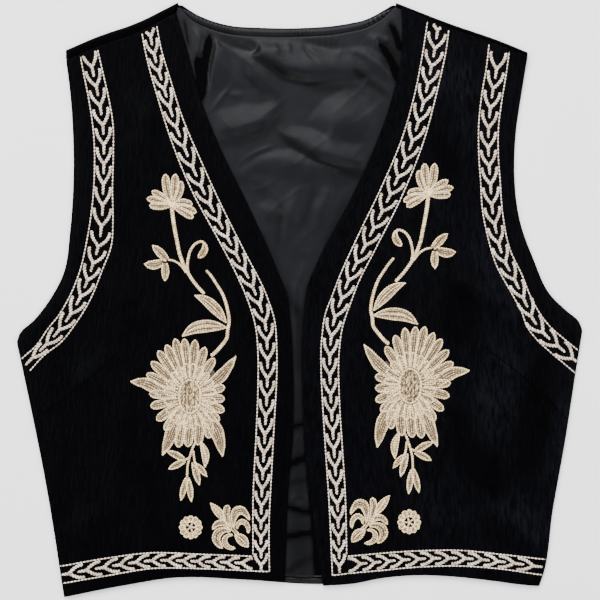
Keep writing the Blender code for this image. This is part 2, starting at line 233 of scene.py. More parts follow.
# Deep hollows lie flat and low, and the black at the neck's corners is painted shade
DEEP_HOLLOWS = (    # where the lining lies flat and low, black at the neck's corners
    (((211, 34), (234, 42), (264, 51)), 9.0, 10.0, 0.78),
    (((298, 37), (322, 44), (348, 47)), 9.0, 8.0, 0.6),
    (((210, 24), (208, 45), (204, 66), (202, 88), (200, 112)), 7.5, 6.5, 2.2),
    (((197, 50), (198, 72), (200, 96)), 7.0, 6.0, 2.0),
    (((376, 36), (385, 52), (393, 67), (401, 90)), 8.0, 6.5, 2.0),
    (((388, 18), (396, 34), (402, 56)), 5.5, 5.5, 1.8),
    (((304, 396), (308, 450), (314, 520), (321, 650)), 8.0, 6.0, 1.7),
    (((270, 422), (292, 427), (304, 424), (326, 430)), 6.5, 6.5, 1.0),
    (((266, 456), (290, 464), (302, 459), (330, 464)), 8.0, 8.0, 1.25),
    (((266, 480), (290, 484), (300, 481), (330, 478)), 5.0, 5.0, 0.7),
    (((262, 512), (290, 508), (302, 512), (336, 506)), 8.0, 6.0, 1.2),
    (((262, 530), (288, 537), (302, 534), (340, 538)), 8.5, 8.0, 1.15),
    (((268, 576), (288, 572), (300, 564), (326, 552)), 7.0, 6.0, 0.8),
)
GAP_CREASES = (     # in the narrow gap between the fronts
    (((286, 426), (300, 428), (314, 424)), 4, 6, -0.3),
    (((286, 442), (300, 440), (314, 443)), 6, 5, 0.7),
    (((286, 456), (300, 458), (316, 455)), 4, 5, -0.3),
    (((286, 498), (300, 499), (318, 496)), 6, 5, 0.7),
    (((286, 525), (302, 524), (320, 527)), 5, 5, 0.6),
    (((284, 556), (294, 553), (306, 557)), 3, 2.5, 0.6),
    (((285, 566), (294, 571), (300, 577)), 2.5, 3, 0.7),
    (((304, 568), (308, 560), (314, 553)), 2.5, 3, 0.7),
)
LEFT_CREASES = (
    (((482, 352), (500, 366), (526, 382)), 6, 6, 0.5),
    (((490, 384), (480, 420), (472, 458)), 5, 6, 0.5),
    (((560, 372), (552, 396), (542, 418)), 4, 5, 0.5),
    (((492, 514), (520, 530), (544, 546)), 6, 7, 0.5),
    (((436, 62), (448, 110), (462, 158)), 7, 8, 0.6),
    (((450, 274), (474, 288), (498, 302)), 6, 7, 0.5),
    (((410, 300), (402, 350), (400, 400)), 6, 6, 0.3),
    (((520, 446), (508, 478), (500, 506)), 6, 6, 0.4),
    (((390, 480), (384, 512), (380, 540)), 5, 6, 0.3),
    (((470, 204), (478, 230), (480, 256)), 5, 6, 0.4),
)
RIGHT_CREASES = (
    (((118, 372), (96, 388), (76, 398)), 6, 6, 0.4),
    (((112, 396), (118, 430), (124, 466)), 6, 5, 0.35),
    (((104, 520), (84, 534), (62, 548)), 7, 6, 0.4),
    (((158, 70), (148, 112), (138, 160)), 8, 7, 0.4),
    (((150, 286), (128, 300), (104, 312)), 7, 6, 0.35),
    (((196, 310), (200, 352), (202, 400)), 6, 6, 0.25),
    (((84, 452), (94, 482), (100, 508)), 6, 6, 0.3),
    (((216, 484), (220, 514), (224, 540)), 6, 5, 0.25),
)
# Painted highlight on the crinkle ridges, where they turn to the light: a share for the whole
# front, then rows of (points, left width, right width, strength), widths in mm, below 0 for a
# valley
LEFT_PAINTED_HIGHLIGHT = (0.30, (
    (((420, 20), (440, 60), (466, 110)), 30, 30, 0.5),
    (((462, 20), (468, 90), (476, 190)), 18, 18, 0.4),
    (((420, 130), (440, 200), (458, 260)), 22, 22, 0.2),
    (((462, 190), (496, 270), (544, 364)), 24, 26, 0.65),
    (((506, 316), (500, 380), (470, 470)), 32, 30, 0.7),
    (((572, 330), (566, 430), (548, 560)), 20, 20, 0.6),
    (((380, 470), (430, 500), (480, 560)), 30, 30, 0.35),
    (((470, 496), (520, 514), (566, 566)), 26, 26, 0.6),
    (((430, 120), (444, 160), (462, 196)), 16, 16, -0.55),
    (((452, 262), (460, 310), (462, 360)), 22, 22, -0.7),
    (((548, 320), (538, 400), (520, 510)), 22, 22, -0.6),
    (((448, 380), (470, 450), (520, 520)), 26, 22, -0.55),
))
RIGHT_PAINTED_HIGHLIGHT = (0.10, (
    (((186, 30), (210, 110), (244, 190)), 20, 20, 0.2),
    (((124, 40), (136, 120), (146, 200)), 20, 20, 0.2),
    (((66, 60), (78, 150), (74, 240)), 16, 16, 0.15),
    (((50, 340), (90, 372), (136, 380)), 22, 22, 0.2),
    (((114, 430), (90, 500), (64, 560)), 28, 28, 0.15),
))
# Each dart is a lapped seam: a slow rise on one side and a steep fall on the other
RIGHT_DART = (((120, 350), (90, 378), (52, 407), (33, 421)), 0.8, 4.0, 0.42)
LEFT_DART = (((480, 344), (522, 376), (551, 403), (570, 422)), 4.0, 0.8, 0.42)

# The bands. Each edge is a table of pixels, from the shoulder down, or from the front band
# to the side. Repeats are the first one's distance and rows of (number, spacing) in mm.
# Trim is how much of the second edge's line is left out at its end, where bands meet.
RIGHT_BANDS = {
    "front": {
        "first edge": ((156.9, 22), (161.7, 47.8), (170.3, 76.5), (183.7, 118.6),
                       (200.9, 158.8), (221.9, 204.7), (244.9, 250.6), (267.8, 296.5),
                       (275.5, 321), (277.4, 344), (277.4, 380.4), (275.5, 414.8),
                       (272.6, 468.4), (269.8, 529.6), (270.3, 571.7)),
        "second edge": ((140.6, 30), (145.4, 55.5), (156.9, 97.6), (172.2, 145.4),
                        (191.3, 191.3), (216.2, 237.2), (235.3, 273.6), (246.8, 300),
                        (254.4, 324.9), (257.3, 357.4), (257.3, 382.3), (255.4, 433.9),
                        (252.5, 491.3), (252.2, 571.7)),
        "repeats": (5.9, ((4, 15.3), (4, 18.1), (2, 16.7), (6, 15.7), (8, 15.9), (3, 14.5),
                          (2, 12.5), (1, 11.3))),
        "trim": 13.6,
    },
    "armhole": {
        "first edge": ((98.5, 49.7), (103.3, 70.8), (109, 95.7), (113.8, 124.4),
                       (114.2, 153), (113.3, 191.3), (113.8, 220), (111.9, 246.8),
                       (103.3, 269.8), (91, 300), (75, 326), (62.5, 342), (44.6, 356),
                       (30.4, 371.4)),
        "second edge": ((79.4, 55), (82.3, 70.8), (88, 99.5), (92.8, 133.9), (93.7, 172.2),
                        (90.9, 210.4), (86, 241), (79.4, 269.8), (67, 300), (58, 315),
                        (46.4, 329.5), (37.5, 342.9), (19.6, 359.4)),
        "repeats": (9.5, ((6, 16.6), (3, 17.9), (3, 14.9), (4, 16.6))),
    },
    "hem": {
        "first edge": ((252.5, 555.4), (200.9, 553.5), (151, 552), (107, 557.3),
                       (57.4, 566)),
        "second edge": ((252.5, 571.7), (200.9, 569.4), (151, 569.4), (107, 576.5),
                        (60.3, 584.7)),
        "repeats": (6.5, ((5, 12.4), (4, 13.7), (2, 15.0))),
    },
}
LEFT_BANDS = {
    "front": {
        "first edge": ((427.2, 18.2), (422.4, 49.7), (414.8, 89.9), (401.4, 137.7),
                       (380.4, 187.5), (357.4, 235.3), (338.3, 277.4), (329.7, 300),
                       (325.8, 309.6), (321, 338), (320.5, 376.5), (322, 407), (324.9, 453),
                       (328.7, 510.4), (331.6, 576)),
        "second edge": ((449.8, 27.7), (447.3, 47.8), (437.7, 91.8), (424.4, 141.6),
                        (403.3, 195), (376.5, 248.7), (357.4, 287), (352.6, 300),
                        (343, 328.7), (339.6, 357.4), (340, 395.7), (343, 445.4),
                        (345.9, 491.3), (347.8, 574.3)),
        "repeats": (3.1, ((4, 15.4), (3, 17.1), (5, 16.0), (8, 16.5), (6, 15.5), (2, 14.2),
                          (1, 13.3), (1, 11.8))),
        "trim": 15.9,
    },
    "armhole": {
        "first edge": ((488.4, 43), (485.6, 67), (480.8, 95.7), (477.9, 124.4),
                       (477.9, 153), (479.8, 181.7), (481.7, 210.4), (487.5, 239),
                       (495, 264), (510.4, 292.7), (521.3, 312.9), (526.7, 327.4),
                       (536.6, 340.4), (548.9, 351.9), (562.6, 363.4), (576.4, 374.9)),
        "second edge": ((510, 52), (506.6, 76.5), (502.8, 99.5), (499.5, 124.4),
                        (499, 153), (500.9, 181.7), (503.7, 216.2), (510.4, 248.7),
                        (522.9, 275.5), (529, 291.5), (537.4, 308.3), (548.9, 324.4),
                        (564.2, 338.2), (579.5, 350.4)),
        "repeats": (14.9, ((4, 16.8), (2, 15.5), (10, 16.9))),
    },
    "hem": {
        "first edge": ((347.8, 555.4), (414.8, 550.2), (462.6, 549.7), (500.9, 553.5),
                       (545.8, 558.7)),
        "second edge": ((347.5, 574.3), (376.5, 571.7), (418.6, 567.8), (462.6, 566.9),
                        (500.9, 569.8), (542.6, 576)),
        "repeats": (8.2, ((3, 12.0), (3, 13.0), (4, 13.8), (1, 16.1))),
    },
}
RIGHT_CORNER = ((269.5, 571.5), (262, 571.4), (252.5, 570.9))
LEFT_CORNER = ((332.4, 575.2), (340, 574.5), (347.5, 573.5))

# One repeat in millimetres, as (across, along) from where its two arms meet
REPEAT_SPACING = 15.8
REPEAT_HALF_WIDTH = 9.2
REPEAT_ARM = ((6.2, -10.4), (6.1, -8.0), (5.6, -5.6), (4.9, -3.7), (3.9, -1.9), (2.6, 0.0),
              (1.2, 1.8), (0.2, 3.0))
REPEAT_STEM = ((0, 2.6), (0, 7.0), (0, 11.3))
ARM_WIDTH = 3.0
STEM_WIDTHS = (3.1, 2.7, 2.1)
LINE_INSET = 0.7
LINE_WIDTH = 1.25
BAND_MARGIN = (0.5, 2.5)    # from a side seam, and from the shoulder seam
SHOULDER_LEVEL = 150.0
BAND_SAMPLES = 400

# The flowers of the wearer's right front in pixels. A petal is (points along its middle,
# half width). The other front has them mirrored and raised by an amount read at its rows.
MIRROR_ROWS = (165, 204, 290, 345, 400, 455, 500, 527)
MIRROR_RISES = (10.5, 11, 12.5, 12, 10.5, 9, 8, 5)
TOP_FLOWER = (
    (((172, 205), (166.8, 189), (165.4, 174.5)), 4.3),
    (((172, 205), (174.5, 190), (175.4, 174.5)), 4.3),
    (((172, 205), (179.5, 192), (181.2, 181.5)), 3.9),
    (((173, 205), (162, 197), (152.3, 191.4)), 3.8),
    (((173, 205), (160, 201), (147.2, 198.6)), 3.8),
    (((173, 205), (160, 206), (150, 205.6)), 4.1),
    (((172, 205), (184, 202.5), (192, 204.8)), 3.9),
    (((172, 205), (185, 207.5), (196, 212.6)), 3.9),
    (((172, 205), (183, 211.5), (193, 217.8)), 3.9),
)
SMALL_BUD = (   # pointed
    (((167.4, 260.3), (160, 252.5), (152.6, 245.5)), 4.5),
    (((163, 262.2), (153.5, 265), (144.6, 264.1)), 5.0),
    (((165, 263), (165.4, 272), (164.9, 281)), 4.2),
)
STEMS = (   # points and widths in pixels
    (((171.5, 206), (174, 225), (175.8, 235), (177.2, 242), (179.3, 252.5), (182.1, 261),
      (186.3, 270), (190.5, 277.1), (196.1, 284.8), (201, 290.4), (204.6, 294)), (4.3, 3.4)),
    (((168.1, 259.9), (173, 260.6), (177.9, 263), (183.5, 268.7), (186.3, 272.9)),
     (2.3, 2.4)),
    (((188.4, 272.9), (187.4, 265.9), (188.4, 257.5), (191.2, 249), (196.1, 243.4),
      (201.8, 241.7), (205.6, 244.8), (206.7, 249)), (3.0, 2.8)),
    (((206, 270.1), (210.9, 275.7), (216.5, 284.1), (222.1, 293.2), (225.6, 302.4),
      (228.1, 312.2), (229.1, 322.7), (227.7, 330), (226.8, 337.9), (220.8, 346.4),
      (214.7, 353), (211, 356)), (2.9, 4.0)),
    (((196.1, 440.9), (193.6, 446), (190.4, 455), (187.8, 465.2), (187.1, 478.2)),
     (2.5, 2.5)),
    (((193.3, 450.5), (194.2, 458.8), (195.2, 463.9)), (2.4, 2.4)),
    (((189, 457.8), (184.2, 460.5)), (2.4, 2.4)),
)
CURL_BALL = (((204.5, 243.5), (204.8, 249.5), (201.8, 254.5), (198.6, 257.5)),
             (2.0, 3.4, 3.8, 2.0))
LEAVES = (  # pointed at both ends
    (((226.5, 323), (216, 309.5), (205, 300), (194.6, 295.4)), 5.7),
    (((227, 327.6), (209, 326), (194, 328.5), (182.1, 336.4)), 6.5),
    (((200.6, 441), (205.4, 454), (205.1, 467.6)), 4.0),
    (((225.6, 521.4), (218, 511.6), (210.4, 503)), 4.3),
    (((234.6, 534.4), (241.6, 539.4), (248.3, 547)), 5.4),
)
FLOWER_CENTRE = (190, 396.5)
FLOWER_CORE = (11, 16.7)
INNER_RING = (26, 33)
INNER_PETALS = 20
INNER_HALF = 4.0
RING_START = 1.08            # of the oval's size, where the inner petals start
PETAL_HALF = 4.7
# Under the big flower lies a dark sheet of painted shade, which shows between its stitches
FLOWER_SHADE_GROUND = (30, 44)     # half width and half height of the ground under it
OUTER_TIPS = (
    (184.4, 339.1), (195.3, 340.3), (205, 347.6), (214.1, 358.5), (224.4, 387),
    (224.3, 399), (224, 411), (219, 421), (175, 339.1), (166.2, 345.2), (158.3, 351.2),
    (151.7, 362.1), (147, 374), (149.8, 393.6), (151.1, 406.5), (157, 420), (165, 430))
OUTER_START = 0.34          # of the way from the centre to a tip
SEPALS = (  # broad at the flower and pointed at the tip
    (((207, 388), (221, 376), (236, 356.4)), 6.2),
    (((163, 393), (148, 384), (130.6, 381.5)), 6.6),
    (((180, 412), (171, 435), (162.6, 455.4)), 7.2),
    (((206, 414), (217.5, 434), (222.8, 456.4)), 7.4),
)
LOWER_PETALS = (
    (((183, 416), (180.5, 432), (178.4, 447)), 5.0),
    (((190, 416), (189.2, 432), (187.8, 446.4)), 5.0),
    (((197, 414), (199.5, 430), (198, 444.6)), 5.0),
    (((203, 412), (209, 426), (208.6, 438)), 5.0),
)
TULIPS = (  # pointed
    (((187.3, 477.5), (184, 488), (181, 500.6)), 3.5),
    (((187.3, 477.5), (189.8, 489), (191.4, 501.8)), 3.5),
    (((185, 460.6), (177, 455.4), (167, 451.2)), 3.6),
    (((185, 460.6), (178, 464.2), (168.6, 469)), 3.6),
    (((193.6, 462), (196.2, 473), (199.4, 485)), 3.7),
    (((194.4, 464), (200.4, 468.6), (206.8, 476.4)), 3.3),
)
SEED_ROWS = 5                # of the centre, on each side of its middle row
SEED_WIDTH = 1.6
OVAL_WIDTH = 1.9
ROSETTE_CENTRE = (190.8, 527.3)
ROSETTE_RADII = (5.0, 11.2)     # where its petals start and end
ROSETTE_PETALS = 12
ROSETTE_HALF = 2.9
ROSETTE_RAYS = 5
RAY_WIDTH = 1.6
PALMETTE = (
    (((231.2, 530.4), (228.0, 522.8), (226.2, 513.1), (227.8, 505.4)), (1.9, 3.1, 3.9, 3.3)),
    (((233.6, 528.3), (233.9, 517.6), (237.1, 511), (241.8, 510.6), (246.6, 514.8),
      (249.6, 520)), (1.2, 2.4, 4.4, 4.8, 2.9, 1.4)),
    (((237.1, 529), (238.1, 523.8), (242, 521.6), (245.9, 523.4), (248.1, 527.9),
      (248.2, 533)), (1.2, 2.2, 2.9, 2.8, 2.3, 1.6)),
    (((229.5, 527.2), (223.9, 523.2), (218.4, 523.2), (214.9, 525.8), (212.9, 529.4)),
     (1.8, 3.2, 3.4, 2.8, 1.5)),
    (((230.9, 531.4), (224.3, 530.1), (218.1, 533.1), (216.3, 539.2), (218.4, 543.9),
      (222.4, 548)), (1.6, 2.8, 4.5, 4.5, 3.3, 2.0)),
    (((233.2, 535), (228.1, 535.4), (224.7, 539.2), (225.5, 544.3), (229.5, 547.5),
      (235, 548.2)), (1.3, 1.9, 2.8, 3.1, 2.4, 1.7)),
)
PALMETTE_SLIT = (
    (((232, 529.5), (234.5, 532.5), (237.6, 536.4)), (1.8, 1.8)),
    (((234.2, 528.6), (236.5, 531.2), (239, 534)), (1.8, 1.8)),
)

# How a kind of stitch lies. Link is the length of one stitch, steps the rings of mesh in
# it, and slant and vee lean its ends. Dip and pinch are the shares lost between stitches.
# Spread is how far the stitches differ in shade.
STITCHES = {
    "line": {"link": 3.0, "steps": 6, "height": 0.95, "slant": 0.0, "vee": 0.5,
             "dip": 0.85, "pinch": 0.6, "shade": 0.95, "spread": 0.42, "end": 0.7},
    "arm": {"link": 2.5, "steps": 6, "height": 1.0, "slant": 0.6, "vee": 0.0,
            "dip": 0.8, "pinch": 0.34, "shade": 0.78, "spread": 0.42, "end": 0.5},
    "stem": {"link": 2.1, "steps": 5, "height": 1.05, "slant": 0.5, "vee": 0.0,
             "dip": 0.45, "pinch": 0.12, "shade": 0.88, "spread": 0.42, "end": 0.8},
    "outline": {"link": 2.1, "steps": 4, "height": 1.05, "slant": 0.4, "vee": 0.0,
                "dip": 0.4, "pinch": 0.2, "shade": 0.95, "spread": 0.42, "end": 0.6},
    "fill": {"link": 2.3, "steps": 5, "height": 0.8, "slant": 0.0, "vee": 0.5,
             "dip": 0.7, "pinch": 0.4, "shade": 0.6, "spread": 0.5, "end": 0.5},
    "seed": {"link": 1.6, "steps": 5, "height": 0.85, "slant": 0.9, "vee": 0.0,
             "dip": 0.9, "pinch": 0.35, "shade": 0.5, "spread": 1.0, "end": 0.5},
    # A dark sheet under the petals: painted shade in the gaps between their rows
    "shade_ground": {"link": 4.0, "steps": 5, "height": 0.34, "slant": 0.0, "vee": 0.0,
               "dip": 0.0, "pinch": 0.0, "shade": 0.02, "spread": 0.0, "end": 0.9},
    "black": {"link": 2.4, "steps": 5, "height": 0.16, "slant": 0.0, "vee": 0.0,
              "dip": 1.0, "pinch": 0.5, "shade": 0.5, "spread": 0.42, "end": 0.4},
}
OUTLINE_WIDTH = 1.5
FILL_WIDTH = 1.7
FILL_PITCH = 2.1
FILL_GAP = 0.62
SHADE_GROUND_INSET = 0.5
BLACK_WIDTH = 0.45
LINING_STITCH_WIDTH = 0.6
NECK_STITCH_INSET = 0.012           # share of the back's width
HEM_STITCH_SHARES = (0.46, 0.56, 60)    # where it starts and ends in the gap, and its points
DART_WIDTH = 0.9
PROFILE = np.array(((-1, -0.14), (-0.62, 0.74), (0, 1.0), (0.62, 0.74), (1, -0.14)))
SWELL_POWER = 0.85  # below 1, a stitch is fuller towards its ends
UNEVEN = 0.2        # how far stitches differ in height

# The thread's colours, and how each thread's differs
THREAD_SHADOW = (0.05, 0.028, 0.010)
THREAD_MIDDLE = (0.365, 0.245, 0.112)
THREAD_LIGHT = (1.0, 0.79, 0.45)
FLOWER_TINT = (1.0, 1.0, 1.0)
BAND_TINT = (0.88, 0.97, 1.45)

# The studio: lights as (place in metres, size in metres, power), the sky, floor and camera
LIGHTS = {
    "key": ((-0.35, 1.75, 1.75), 1.4, 135),
    "left fill": ((-1.9, 0.1, 1.6), 1.2, 55),
    "right fill": ((1.9, 0.1, 1.6), 1.2, 48),
    "low fill": ((0.1, -1.8, 1.6), 1.2, 34),
}
SKY_COLOUR = (0.93, 0.95, 1.0, 1)
SKY_STRENGTH = 0.3
FLOOR_REACH = 4000.0
FLOOR_LEVEL = -0.2
LENS = 100.0
SENSOR_WIDTH = 36.0
FOCUS_LEVEL = 4.0


def at_photo(points):
    """The places in millimetres under some pixels of the photograph."""
    p = np.array(points, float)
    return np.stack([(p[..., 0] - PHOTO_CENTRE[0]) * PHOTO_SCALE,
                     (PHOTO_CENTRE[1] - p[..., 1]) * PHOTO_SCALE], -1)


def mirrored(points):
    """The pixels on the other front that match some pixels on the wearer's right front."""
    p = np.array(points, float)
    rise = np.interp(p[..., 1], MIRROR_ROWS, MIRROR_RISES)
    return np.stack([PHOTO_WIDTH - p[..., 0], p[..., 1] - rise], -1)


def smooth(share):
    """An even step from 0 to 1 that starts and ends level."""
    t = np.clip(share, 0, 1)
    return t * t * (3 - 2 * t)


def scatter(i, j, seed):
    """A number from -1 to 1 for each pair of whole numbers."""
    n = np.sin(i * 127.1 + j * 311.7 + seed * 74.7) * 43758.5453
    return 2 * (n - np.floor(n)) - 1


def noise(x, y, seed):
    """Smooth noise from -1 to 1 with about one bump to each unit of x and y."""
    i, j = np.floor(x), np.floor(y)
    fx, fy = smooth(x - i), smooth(y - j)
    low = scatter(i, j, seed) * (1 - fx) + scatter(i + 1, j, seed) * fx
    high = scatter(i, j + 1, seed) * (1 - fx) + scatter(i + 1, j + 1, seed) * fx
    return low * (1 - fy) + high * fy


def curve_line(points, samples=12):
    """Close points along a smooth curve through a few."""
    p = np.array(points, float)
    span = np.linalg.norm(np.diff(p, axis=0), axis=1)
    slope = np.diff(p, axis=0) / span[:, None]
    tangent = np.vstack([slope[:1], slope[-1:]]) if len(p) == 2 else np.vstack([
        slope[:1],
        (slope[:-1] * span[1:, None] + slope[1:] * span[:-1, None])
        / (span[:-1] + span[1:])[:, None],
        slope[-1:]])
    t = np.linspace(0, 1, samples, endpoint=False)[:, None]
    line = []
    for k, length in enumerate(span):
        line.append((2 * t**3 - 3 * t**2 + 1) * p[k] + (3 * t**2 - 2 * t**3) * p[k + 1]
                    + length * (t**3 - 2 * t**2 + t) * tangent[k]
                    + length * (t**3 - t**2) * tangent[k + 1])
    return np.vstack(line + [p[-1:]])


def between(line, along, places):
    """Points of a line at some places, where along says how far each of its own points is."""
    return np.stack([np.interp(places, along, line[:, k]) for k in (0, 1)], -1)


def left_of(run):
    """Directions turned a quarter to the left."""
    return np.stack([-run[:, 1], run[:, 0]], 1)


def ray(turn):
    """Directions at some angles, which turn from the second axis to the first."""
    return np.stack([np.sin(turn), np.cos(turn)], -1)


def distances(line):
    """How far along a line each of its points lies."""
    return np.concatenate([[0], np.cumsum(np.linalg.norm(np.diff(line, axis=0), axis=1))])


def edge(curves, breaks=(0, 1)):
    """A function from 0..1 to places on an edge, where curve k covers two of the breaks."""
    shares, lines = [], []
    for points, start, end in zip(curves, breaks, breaks[1:]):
        line = curve_line(points)
        along = distances(line)
        shares.append(start + along / along[-1] * (end - start))
        lines.append(line)
    share, line = np.concatenate(shares), np.vstack(lines)
    return lambda t: between(line, share, t)


def patch(bottom, top, first, last):
    """A function of (u, v) that spreads points between four edges of a panel."""
    def at(u, v):
        a, b = np.asarray(u, float)[..., None], np.asarray(v, float)[..., None]
        corners = ((1 - a) * (1 - b) * bottom(0) + a * (1 - b) * bottom(1)
                   + (1 - a) * b * top(0) + a * b * top(1))
        return (1 - b) * bottom(u) + b * top(u) + (1 - a) * first(v) + a * last(v) - corners
    return at


def near_line(line, x, y):
    """For each place, its signed distance from a line, to its left, and how far along."""
    best = np.full(np.shape(x), np.inf)
    across, along = np.zeros(np.shape(x)), np.zeros(np.shape(x))
    for a, b, start in zip(line, line[1:], distances(line)):
        run = b - a
        span = np.linalg.norm(run)
        t = np.clip(((x - a[0]) * run[0] + (y - a[1]) * run[1]) / span**2, 0, 1)
        dx, dy = x - a[0] - t * run[0], y - a[1] - t * run[1]
        gap = np.hypot(dx, dy)
        closer = gap < best
        best = np.where(closer, gap, best)
        across = np.where(closer, np.where(run[0] * dy > run[1] * dx, gap, -gap), across)
        along = np.where(closer, start + t * span, along)
    return across, along


def bank(across, width):
    """The rounded profile of a fold, from 1 on its crest to 0 at its sides."""
    return np.cos(math.pi / 2 * np.clip(np.abs(across) / width, 0, 1)) ** 2


def eased_ends(share, ease):
    """From 0 at both ends of a fold to 1 along it."""
    return smooth(share / ease) * smooth((1 - share) / ease)


def fold_height(x, y, folds):
    """Height of a table's folds. Where two folds meet, the higher one leads."""
    total = np.zeros(np.shape(x))
    for x0, y0, x1, y1, left, right, height in folds.values():
        run = np.array([x1 - x0, y1 - y0], float)
        length = np.linalg.norm(run)
        run /= length
        dx, dy = x - x0, y - y0
        ends = eased_ends((dx * run[0] + dy * run[1]) / length, FOLD_EASE)
        across = run[0] * dy - run[1] * dx
        total += (height * bank(across, np.where(across > 0, left, right)) * ends) ** 2
    return np.sqrt(total)


def crease_height(x, y, creases, ease=FOLD_EASE, power=1):
    """Height of a table's creases, which narrow towards their ends.

    At power 1 they are added together. At power 2 the higher of two that meet leads.
    """
    total = np.zeros(np.shape(x))
    for points, left, right, height in creases:
        line = curve_line(at_photo(points), 5)
        reach = max(left, right)
        (low_x, low_y), (high_x, high_y) = line.min(0) - reach, line.max(0) + reach
        here = (x > low_x) & (x < high_x) & (y > low_y) & (y < high_y)
        if not here.any():
            continue
        across, along = near_line(line, x[here], y[here])
        ends = eased_ends(along / distances(line)[-1], ease)
        width = np.where(across > 0, left, right) * (END_WIDTH + (1 - END_WIDTH) * ends)
        total[here] += (height * bank(across, width) * ends) ** power
    return total ** (1 / power)


def is_inside(outline, x, y):
    """Whether each place lies within a closed outline."""
    inside = np.zeros(np.shape(x), bool)
    for a, b in zip(outline, np.roll(outline, -1, axis=0)):
        if a[1] != b[1]:
            crosses = (a[1] > y) != (b[1] > y)
            inside ^= crosses & (x < a[0] + (y - a[1]) * (b[0] - a[0]) / (b[1] - a[1]))
    return inside


def new_piece(name, points, quads, look, values=None):
    """A smooth mesh of four-sided faces that rides with the model."""
    data = bpy.data.meshes.new(name)
    data.vertices.add(len(points))
    data.vertices.foreach_set("co", (np.asarray(points) * MM).astype(np.float32).ravel())
    data.loops.add(quads.size)
    data.loops.foreach_set("vertex_index", quads.astype(np.int32).ravel())
    data.polygons.add(len(quads))
    data.polygons.foreach_set("loop_start", np.arange(0, quads.size, 4, dtype=np.int32))
    data.update(calc_edges=True)
    for key, column in (values or {}).items():
        layer = data.attributes.new(key, "FLOAT", "POINT")
        layer.data.foreach_set("value", column.astype(np.float32))
    data.validate()
    data.shade_smooth()
    data.materials.append(look)
    piece = bpy.data.objects.new(name, data)
    bpy.context.collection.objects.link(piece)
    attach(piece, BODY)
    return piece


def grid_cells(rows, columns):
    """The four-sided cells of a grid of points that are counted row by row."""
    index = np.arange(rows * columns).reshape(rows, columns)
    return np.stack([index[:-1, :-1], index[:-1, 1:], index[1:, 1:], index[1:, :-1]],
                    -1).reshape(-1, 4)


def shell(name, lower, upper, cells, look, values=None):
    """A closed thin wall between two like sets of points."""
    sides = cells[:, [0, 1, 1, 2, 2, 3, 3, 0]].reshape(-1, 2)
    _, first, uses = np.unique(np.sort(sides, axis=1), axis=0, return_index=True,
                               return_counts=True)
    free = sides[first[uses == 1]]
    shift = len(lower)
    rim = np.stack([free[:, 0], free[:, 1], free[:, 1] + shift, free[:, 0] + shift], 1)
    quads = np.vstack([cells + shift, cells[:, ::-1], rim])
    return new_piece(name, np.vstack([lower, upper]), quads, look, values)


def sheet_shell(name, places, middle, thickness, rim, look, values=None):
    """A closed thin wall over a grid of places, thinner where rim is below 1."""
    values = values or {}
    if places[0, 0, 0] > places[0, -1, 0]:
        places, middle, rim = places[:, ::-1], middle[:, ::-1], rim[:, ::-1]
        values = {key: grid[:, ::-1] for key, grid in values.items()}
    half = thickness / 2 * rim
    lower = np.dstack([places, middle - half]).reshape(-1, 3)
    upper = np.dstack([places, middle + half]).reshape(-1, 3)
    columns = {key: np.tile(grid.ravel(), 2) for key, grid in values.items()}
    return shell(name, lower, upper, grid_cells(*middle.shape), look, columns)


def rounded(gap, radius=ROUNDING):
    """The share of a wall's thickness at a distance from its edge."""
    t = 1 - np.clip(gap / radius, 0, 1)
    return np.maximum(np.sqrt(1 - t * t), THIN_EDGE)


def with_borders(inner, length):
    """Shares of a length: close ones beside both ends, and inner even ones between."""
    near = np.array(BORDER_ROWS)
    return np.concatenate([near / length,
                           np.linspace(near[-1] / length, 1 - near[-1] / length,
                                       inner + 1)[1:-1],
                           1 - near[::-1] / length])


def bordered_grid(at, rows, columns):
    """Places of a panel with close rows and columns at its borders, and their rounding."""
    mean_width = np.linalg.norm(at(1, 0.5) - at(0, 0.5))
    mean_height = np.linalg.norm(at(0.5, 1) - at(0.5, 0))
    rough_u, rough_v = with_borders(columns, mean_width), with_borders(rows, mean_height)
    widths = np.linalg.norm(at(np.ones_like(rough_v), rough_v)
                            - at(np.zeros_like(rough_v), rough_v), axis=-1)
    heights = np.linalg.norm(at(rough_u, np.ones_like(rough_u))
                             - at(rough_u, np.zeros_like(rough_u)), axis=-1)
    u = np.array([with_borders(columns, width) for width in widths])
    v = np.array([with_borders(rows, height) for height in heights]).T
    gap_u = np.minimum(u, 1 - u) * widths[:, None]
    gap_v = np.minimum(v, 1 - v) * heights[None, :]
    return at(u, v), rounded(gap_u) * rounded(gap_v)


